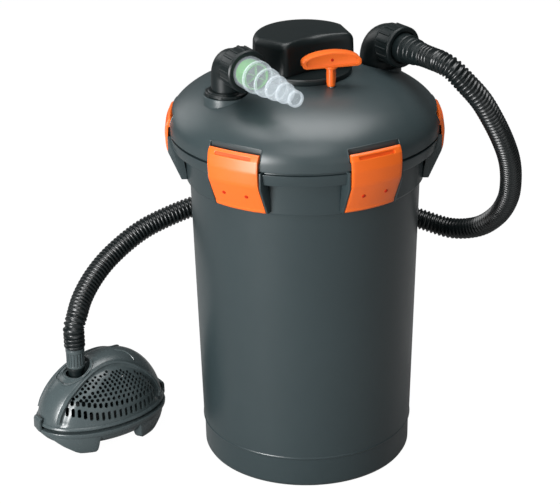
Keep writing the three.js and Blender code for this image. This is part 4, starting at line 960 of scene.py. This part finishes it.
def inside_by(outline, x, y):
    """How far inside a flat outline a point lies, negative outside."""
    inside, nearest = False, 1e9
    for (ax, ay), (bx, by) in zip(outline, outline[1:] + outline[:1]):
        dx, dy = bx - ax, by - ay
        share = max(0.0, min(1.0, ((x - ax) * dx + (y - ay) * dy) / (dx * dx + dy * dy)))
        nearest = min(nearest, math.hypot(x - ax - share * dx, y - ay - share * dy))
        if (ay > y) != (by > y) and x < ax + dx * (y - ay) / dy:
            inside = not inside
    return nearest if inside else -nearest


def eased(value):
    """A smooth step from 0 to 1."""
    value = max(0.0, min(1.0, value))
    return value * value * (3 - 2 * value)


def sunk(share, angle):
    """How deep the dome's face lies at a place: the strainer's hollow and the dish round the socket."""
    x, y = chart(share, angle)
    y = -abs(y)
    outer = inside_by(BEAD_CHART, x, y)
    if outer <= 0:
        return DISH_DEPTH * eased(inside_by(DISH_CHART, x, y) / 1.5) + BEAD_STEP * eased((outer + 4) / 1.6)
    back = eased((1 - share) / 0.01)
    inner = inside_by(STRAINER_CHART, x, y)
    return back * (HOLLOW * eased(outer / 4.5) if inner <= 0 else HOLLOW - 1.9 * eased(inner / 13))


def row_share(row, angle):
    """The share at which a row of openings lies, at an angle in degrees."""
    for (a, first), (b, second) in zip(row, row[1:]):
        if angle <= b:
            break
    return first + (second - first) * (angle - a) / (b - a)


def along_row(row, pitch, offset):
    """Evenly spaced places (share, angle) along a row, counted from its middle."""
    places = []
    for way in (-1, 1):
        angle, walked = ROW_MIDDLE, 0.0
        goal = offset * pitch if way > 0 else (1 - offset) * pitch
        before = shell_point(row(angle), math.radians(angle))
        while ROW_ENDS[0] < angle < ROW_ENDS[1]:
            if walked >= goal:
                places.append((row(angle), math.radians(angle)))
                goal += pitch
            angle += way * ROW_STEP
            here = shell_point(row(angle), math.radians(angle))
            walked += (here - before).length
            before = here
    return places


def shell_normal(share, angle):
    """The way out of the dome at a place."""
    step = 1e-3
    here = shell_point(share, angle)
    across = shell_point(share, angle + step) - here
    down = shell_point(min(share + step, 0.9999), angle) - here
    normal = across.cross(down)
    return normal.normalized() * (-1 if normal.dot(here - Vector((LEAN, 0, 30))) < 0 else 1)


def strainer_cutters():
    """Round openings in rows that follow the panel, with a row of slots below them."""
    cutters, middles = [], []

    def cut(share, angle, width, height):
        middle = shell_point(share, angle)
        bar = 0.35 + max(0, height - width) * 0.1
        if inside_by(STRAINER_CHART, *chart(share, angle)) < width * 0.3:
            return
        if any((middle - other).length < width + bar for other in middles):
            return
        middles.append(middle)
        tall = max(0.0, height - width) / 2
        outline = [
            (width / 2 * math.cos(t), width / 2 * math.sin(t) + (tall if t < math.pi else -tall))
            for t in (FULL * (k + 0.5) / 12 for k in range(12))
        ]
        for side in (-1, 1):
            here, facing = shell_point(share, -side * angle), shell_normal(share, -side * angle)
            across = Vector((0, 0, 1)).cross(facing).normalized()
            basis = Matrix((across, facing.cross(across), facing)).transposed().to_4x4()
            cutters.append(placed(upright(outline, -7, 3), Matrix.Translation(here) @ basis))

    for r in range(10):

        def row(angle):
            low = row_share(LOW_ROW, angle)
            return low + (row_share(TOP_ROW, angle) - low) * r / 7

        for share, angle in along_row(row, 8.5 - 0.22 * r, 0.5 * (r % 2)):
            cut(share, angle, OPENING - 0.13 * r, 8 if r == 0 else 0)
    for share, angle in along_row(lambda a: row_share(SLOT_ROW, a), 9.1, 0.5):
        cut(share, angle, SLOT_WIDTH, SLOT_HEIGHT)
    return joined(*cutters)


def ellipse(length, width, z, sides=128):
    return [(length * math.cos(a), width * math.sin(a), z) for a in around(sides)]


def pump_piece(name, form, *nodes, place=PUMP_PLACE, finish=pump_slate_painted_light, **looks):
    piece(name, placed(form, place), finish, "canister", *nodes, **looks)


def make_pump_shell():
    shares = [1.0] + [1 - (1 - k / 64) ** 1.8 for k in range(61, 0, -1)] + [0.012]
    inner_shares = (0.05, 0.2, 0.4, 0.6, 0.75, 0.88, 0.96, 1.0)
    angles = around(240)
    outside = [[shell_point(s, a) - shell_normal(s, a) * sunk(s, a) for a in angles] for s in shares]
    inside = [[shell_point(s, a, DOME_WALL) for a in angles] for s in inner_shares]
    seat, passage = turned([(20.3, 93), (20.3, 140)], 64), turned([(17.3, 70), (17.3, 140)], 48)
    shell = carved(hollowed(outside, inside), placed(seat, shift(NECK)), placed(passage, shift(NECK)))
    shell = carved(shell, strainer_cutters())
    pump_piece("pump_cage", shell, "pump_upper_shell", smooth=38)
    well = lathed([(17.3, 90), (23.4, 90), (23.4, 101), (20.4, 101), (20.4, 93.2), (17.3, 93.2)], 64)
    lines = [placed(well, shift(NECK))]
    for route, radius, count in ((BEAD, 2.1, 90), (DISH, 1.1, 60), (SPINE, 1.4, 24)):
        for side in (-1, 1):
            places = [(share, side * math.radians(degrees)) for share, degrees in route]
            lines.append(bead([shell_point(*p) + shell_normal(*p) * 0.5 for p in places], count, radius, 10))
    flange = [(0, 40.3), (2.2, 40.4), (2.8, 41), (2.6, 42.2), (0.4, 44.6), (-1.5, 44.6), (-1.5, 40.3)]
    lines.append(skin([ellipse(HALF_LENGTH + out, HALF_WIDTH + out, z) for out, z in flange], looped=True))
    under_top = [(0.42, math.pi), (0.2, math.pi)] + [(share, 0) for share in (0.05, 0.2, 0.4, 0.6, 0.7, 0.8, 0.87)]
    web = [(p.x, p.z) for p in (shell_point(share, angle, 4.2) for share, angle in under_top)]
    web += [(web[-1][0], 60), (64, 60), (64, 78.6), (web[0][0], 78.6)]
    lines.append(placed(upright(web, -1, 1), turn(90, "X")))
    pump_piece("pump_cage_ribs", joined(*lines))


def make_pump_foot():
    a, b = HALF_LENGTH, HALF_WIDTH
    rows = [
        (-20, -16, 10.5), (-10, -8, 14.5), (-5.5, -4, 18.5), (-0.4, -0.4, 24.5), (1.6, 1.6, 28.8), (3.6, 3.6, 29.6),
        (4.6, 4.6, 30.4), (5, 5, 34.6), (4.4, 4.4, 35.6), (0, 0, 35.9), (-4.6, -4.6, 36), (-4.6, -4.6, 40),
        (-6, -6, 40), (-9, -8, 34), (-16, -14, 22),
    ]
    bowl = skin([ellipse(a + x, b + y, z) for x, y, z in rows])
    levels = [
        (0, 128, 117, 0.83, 0.93), (0.8, 131, 114.6, 0.815, 0.945), (3.5, 135, 112.8, 0.80, 0.96),
        (8, 140, 111.8, 0.79, 0.975), (13, 146.5, 111, 0.79, 0.99), (18, 152.5, 110.4, 0.79, 1.0),
        (23, 159, 109.8, 0.78, 1.01), (29, 167, 109, 0.78, 1.01),
    ]
    rings = []
    for z, start, stop, inner, outer in levels:
        arc = [math.radians(start + (stop - start) * k / 8) for k in range(9)]
        edges = [(outer, t) for t in arc] + [(inner, t) for t in reversed(arc)]
        rings.append([(a * share * math.cos(t), -b * share * math.sin(t), z) for share, t in edges])
    fin = skin(rings)
    feet = joined(*[placed(fin, Matrix.Diagonal((x, y, 1, 1))) for x in (-1, 1) for y in (-1, 1)])
    pump_piece("pump_bowl", bowl, "pump_lower_shell", smooth=30)
    pump_piece("pump_feet", feet, bevel=1.2)


def make_pump_neck():
    here = PUMP_PLACE @ shift(NECK)
    ring = [
        (17.2, 93.3), (20, 93.3), (20, SOCKET + 2.6, 1), (18.4, SOCKET + 4.4, 1), (15.4, SOCKET + 4.4, 0.6),
        (15.8, SOCKET + 1), (17.1, SOCKET - 1),
    ]
    pump_piece("pump_socket", lathed(ring, 64), "pump_socket_ring", place=here)
    ball = [
        (8.5, 80.8), (12.5, 80.8, 1), (15.6, 85, 3), (16.5, 90, 3), (16, 94, 3), (14.6, 97, 2), (11.3, 100, 1),
        (11.3, 112, 0.4), (13.3, 113, 0.5), (13.3, 117, 0.5), (8.5, 117),
    ]
    pump_piece("pump_ball", lathed(ball, 56), "pump_outlet_ball", place=here, finish=black)
    collar = [
        (8.5, 117.3), (13.4, 117.3, 0.5), (13.4, 120.4, 0.5), (12.2, 121, 0.3), (12.2, 140, 0.3), (13.8, 141, 0.6),
        (13.8, 146, 0.8), (12.6, 147), (10.0, 147), (10.0, 167), (8.5, 167),
    ]
    rib = upright([(-1, 11.8), (-0.8, 13.3, 0.4), (0.8, 13.3, 0.4), (1, 11.8)], 121, 140.6)
    form = joined(lathed(collar, 72), spun(rib, 18))
    pump_piece("pump_collar", form, "pump_hose_tail", place=here, slot="fitting_black")


def make_pump_latches():
    out = HALF_LENGTH + 4
    outline = [
        (out - 2.6, 33.9, 1), (out - 1.2, 32.9, 1), (out + 1.6, 32.9, 1.2), (out + 2.8, 36, 1.5),
        (out + 2.5, 49, 2), (out + 0.6, 53, 1.2), (out - 3.2, 53.1, 0.6), (out - 3.5, 51.7, 0.5),
        (out - 1.2, 49.4, 1), (out - 0.6, 43, 1), (out - 1.6, 38, 1),
    ]
    for quarter, end in ((-90, "left"), (90, "right")):
        form = placed(sideways(outline, 18), PUMP_PLACE @ turn(quarter))
        piece(f"pump_catch_{end}", form, pump_slate_painted_light, f"latch_{end}", f"pump_latch_{end}", bevel=0.7)


make_pump_shell()
make_pump_foot()
make_pump_neck()
make_pump_latches()


# ---- foam


def make_foam():
    """Four filter discs, soft at their edges, that the lift handle squeezes against the upper plate."""
    for i in range(1, 5):
        name = f"foam_disc_{i}"
        low, high = (corner[2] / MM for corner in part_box(name))
        outline = [
            (31.6, low + 0.6, 3), (86, low), (140.4, low + 0.6, 6), (139.4, (low + high) / 2), (140.4, high - 0.6, 6),
            (86, high), (31.6, high - 0.6, 3), (32.4, (low + high) / 2),
        ]
        rod_way = placed(turned([(6.1, low - 5), (6.1, high + 5)], 32), shift(y=ROD_Y))
        disc = piece(f"foam_pad_{i}", carved(lathed(outline, 128), rod_way), foam, "canister", name, smooth=50)
        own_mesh(disc)


make_foam()


# ---- CAD nodes that stay

CAD_FINISHES = {
    rubber: ["lid_seal", "uv_head_seal", "outlet_seal", "inlet_seal", "inlet_gasket"],
    white: ["uv_ballast", "uv_lamp_socket", "impeller", "impeller_shaft"],
    quartz: ["uv_lamp", "quartz_sleeve"],
    steel: ["cleaning_rod", "rod_nut"],
    black: [
        "rod_bush", "cleaning_plate", "upper_plate", "centre_tube", "inlet_lock_nut", "pump_motor",
        "impeller_housing", "pump_cable_gland",
    ],
}
for finish, names in CAD_FINISHES.items():
    for name in names:
        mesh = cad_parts[name].data
        mesh.materials.clear()
        mesh.materials.append(finish)


# ---- floor and light

LAMP_AIM = Vector((0, 0, 0.3))
FLOOR_HALF, FLOOR_DROP = 9000, 0.5
ROOM_LIGHT, ROOM_IN_GLOSS = 0.05, 0.06


def pale_ground():
    """The white sweep: it glows for the camera alone, so that it doesn't light the object."""
    finish = Finish("pale_ground", Roughness=0.9, Base_Color=(0.3, 0.3, 0.3, 1))
    seen = finish.node("ShaderNodeLightPath", output="Is Camera Ray")
    glow = finish.node("ShaderNodeEmission", Color=(1, 1, 1, 1), Strength=1.1)
    mixer = finish.node("ShaderNodeMixShader", Fac=seen * 0.9).socket.node
    finish.tree.links.new(finish.shader.outputs[0], mixer.inputs[1])
    finish.tree.links.new(glow.socket, mixer.inputs[2])
    finish.tree.links.new(mixer.outputs[0], finish.tree.nodes["Material Output"].inputs["Surface"])
    return finish.material


def set_stage():
    """The floor, and a room that is white for the camera and through clear walls, and faint in gloss."""
    corners = [(x * FLOOR_HALF, y * FLOOR_HALF, 0) for x, y in ((-1, -1), (1, -1), (1, 1), (-1, 1))]
    ground = object_of("ground", mesh_of("ground", (corners, [(0, 1, 2, 3)])))
    ground.data.materials.append(pale_ground())
    ground.location.z = -FLOOR_DROP * MM
    world = bpy.context.scene.world or bpy.data.worlds.new("world")
    bpy.context.scene.world = world
    world.use_nodes = True
    room = Graph(world.node_tree)
    room.tree.nodes.clear()
    rays = ("Is Camera Ray", "Is Transmission Ray", "Is Glossy Ray")
    camera, clear_wall, gloss = [room.node("ShaderNodeLightPath", output=ray) for ray in rays]
    strength = ROOM_LIGHT + (camera + clear_wall + ROOM_IN_GLOSS * gloss) * (1 - ROOM_LIGHT)
    sky = room.node("ShaderNodeBackground", Color=(1, 1, 1, 1), Strength=strength)
    room.wire(room.tree.nodes.new("ShaderNodeOutputWorld"), Surface=sky)


def lamp(name, place, size, power, height=None):
    data = bpy.data.lights.new(name, "AREA")
    data.shape = "RECTANGLE"
    data.size = size
    data.size_y = height or size
    data.energy = power
    thing = object_of(name, data)
    thing.location = place
    thing.rotation_euler = (LAMP_AIM - place).to_track_quat("-Z", "Y").to_euler()


def from_camera(right, back, up):
    """A place in the room, counted from the camera's side of the object."""
    return Matrix.Rotation(CAMERA_TURN, 3, "Z") @ Vector((right, -back, up))


def around_camera(azimuth, reach, up):
    """A place in the room at an angle from the camera's side, left negative."""
    bearing = math.radians(azimuth)
    return from_camera(reach * math.sin(bearing), reach * math.cos(bearing), up)


set_stage()
lamp("key", around_camera(-40, 2.3, 0.6), 0.8, 79, 1.15)
lamp("fill", around_camera(24, 2.3, 0.6), 1.4, 4, 1.15)
lamp("front", around_camera(0, 1.6, 2.1), 1.4, 18)
lamp("top", from_camera(0.0, -0.1, 2.4), 2.0, 54, 1.3)
lamp("rim", around_camera(-130, 2.2, 1.3), 1.4, 10)


# ---- view

bpy.context.scene.view_settings.view_transform = "Standard"
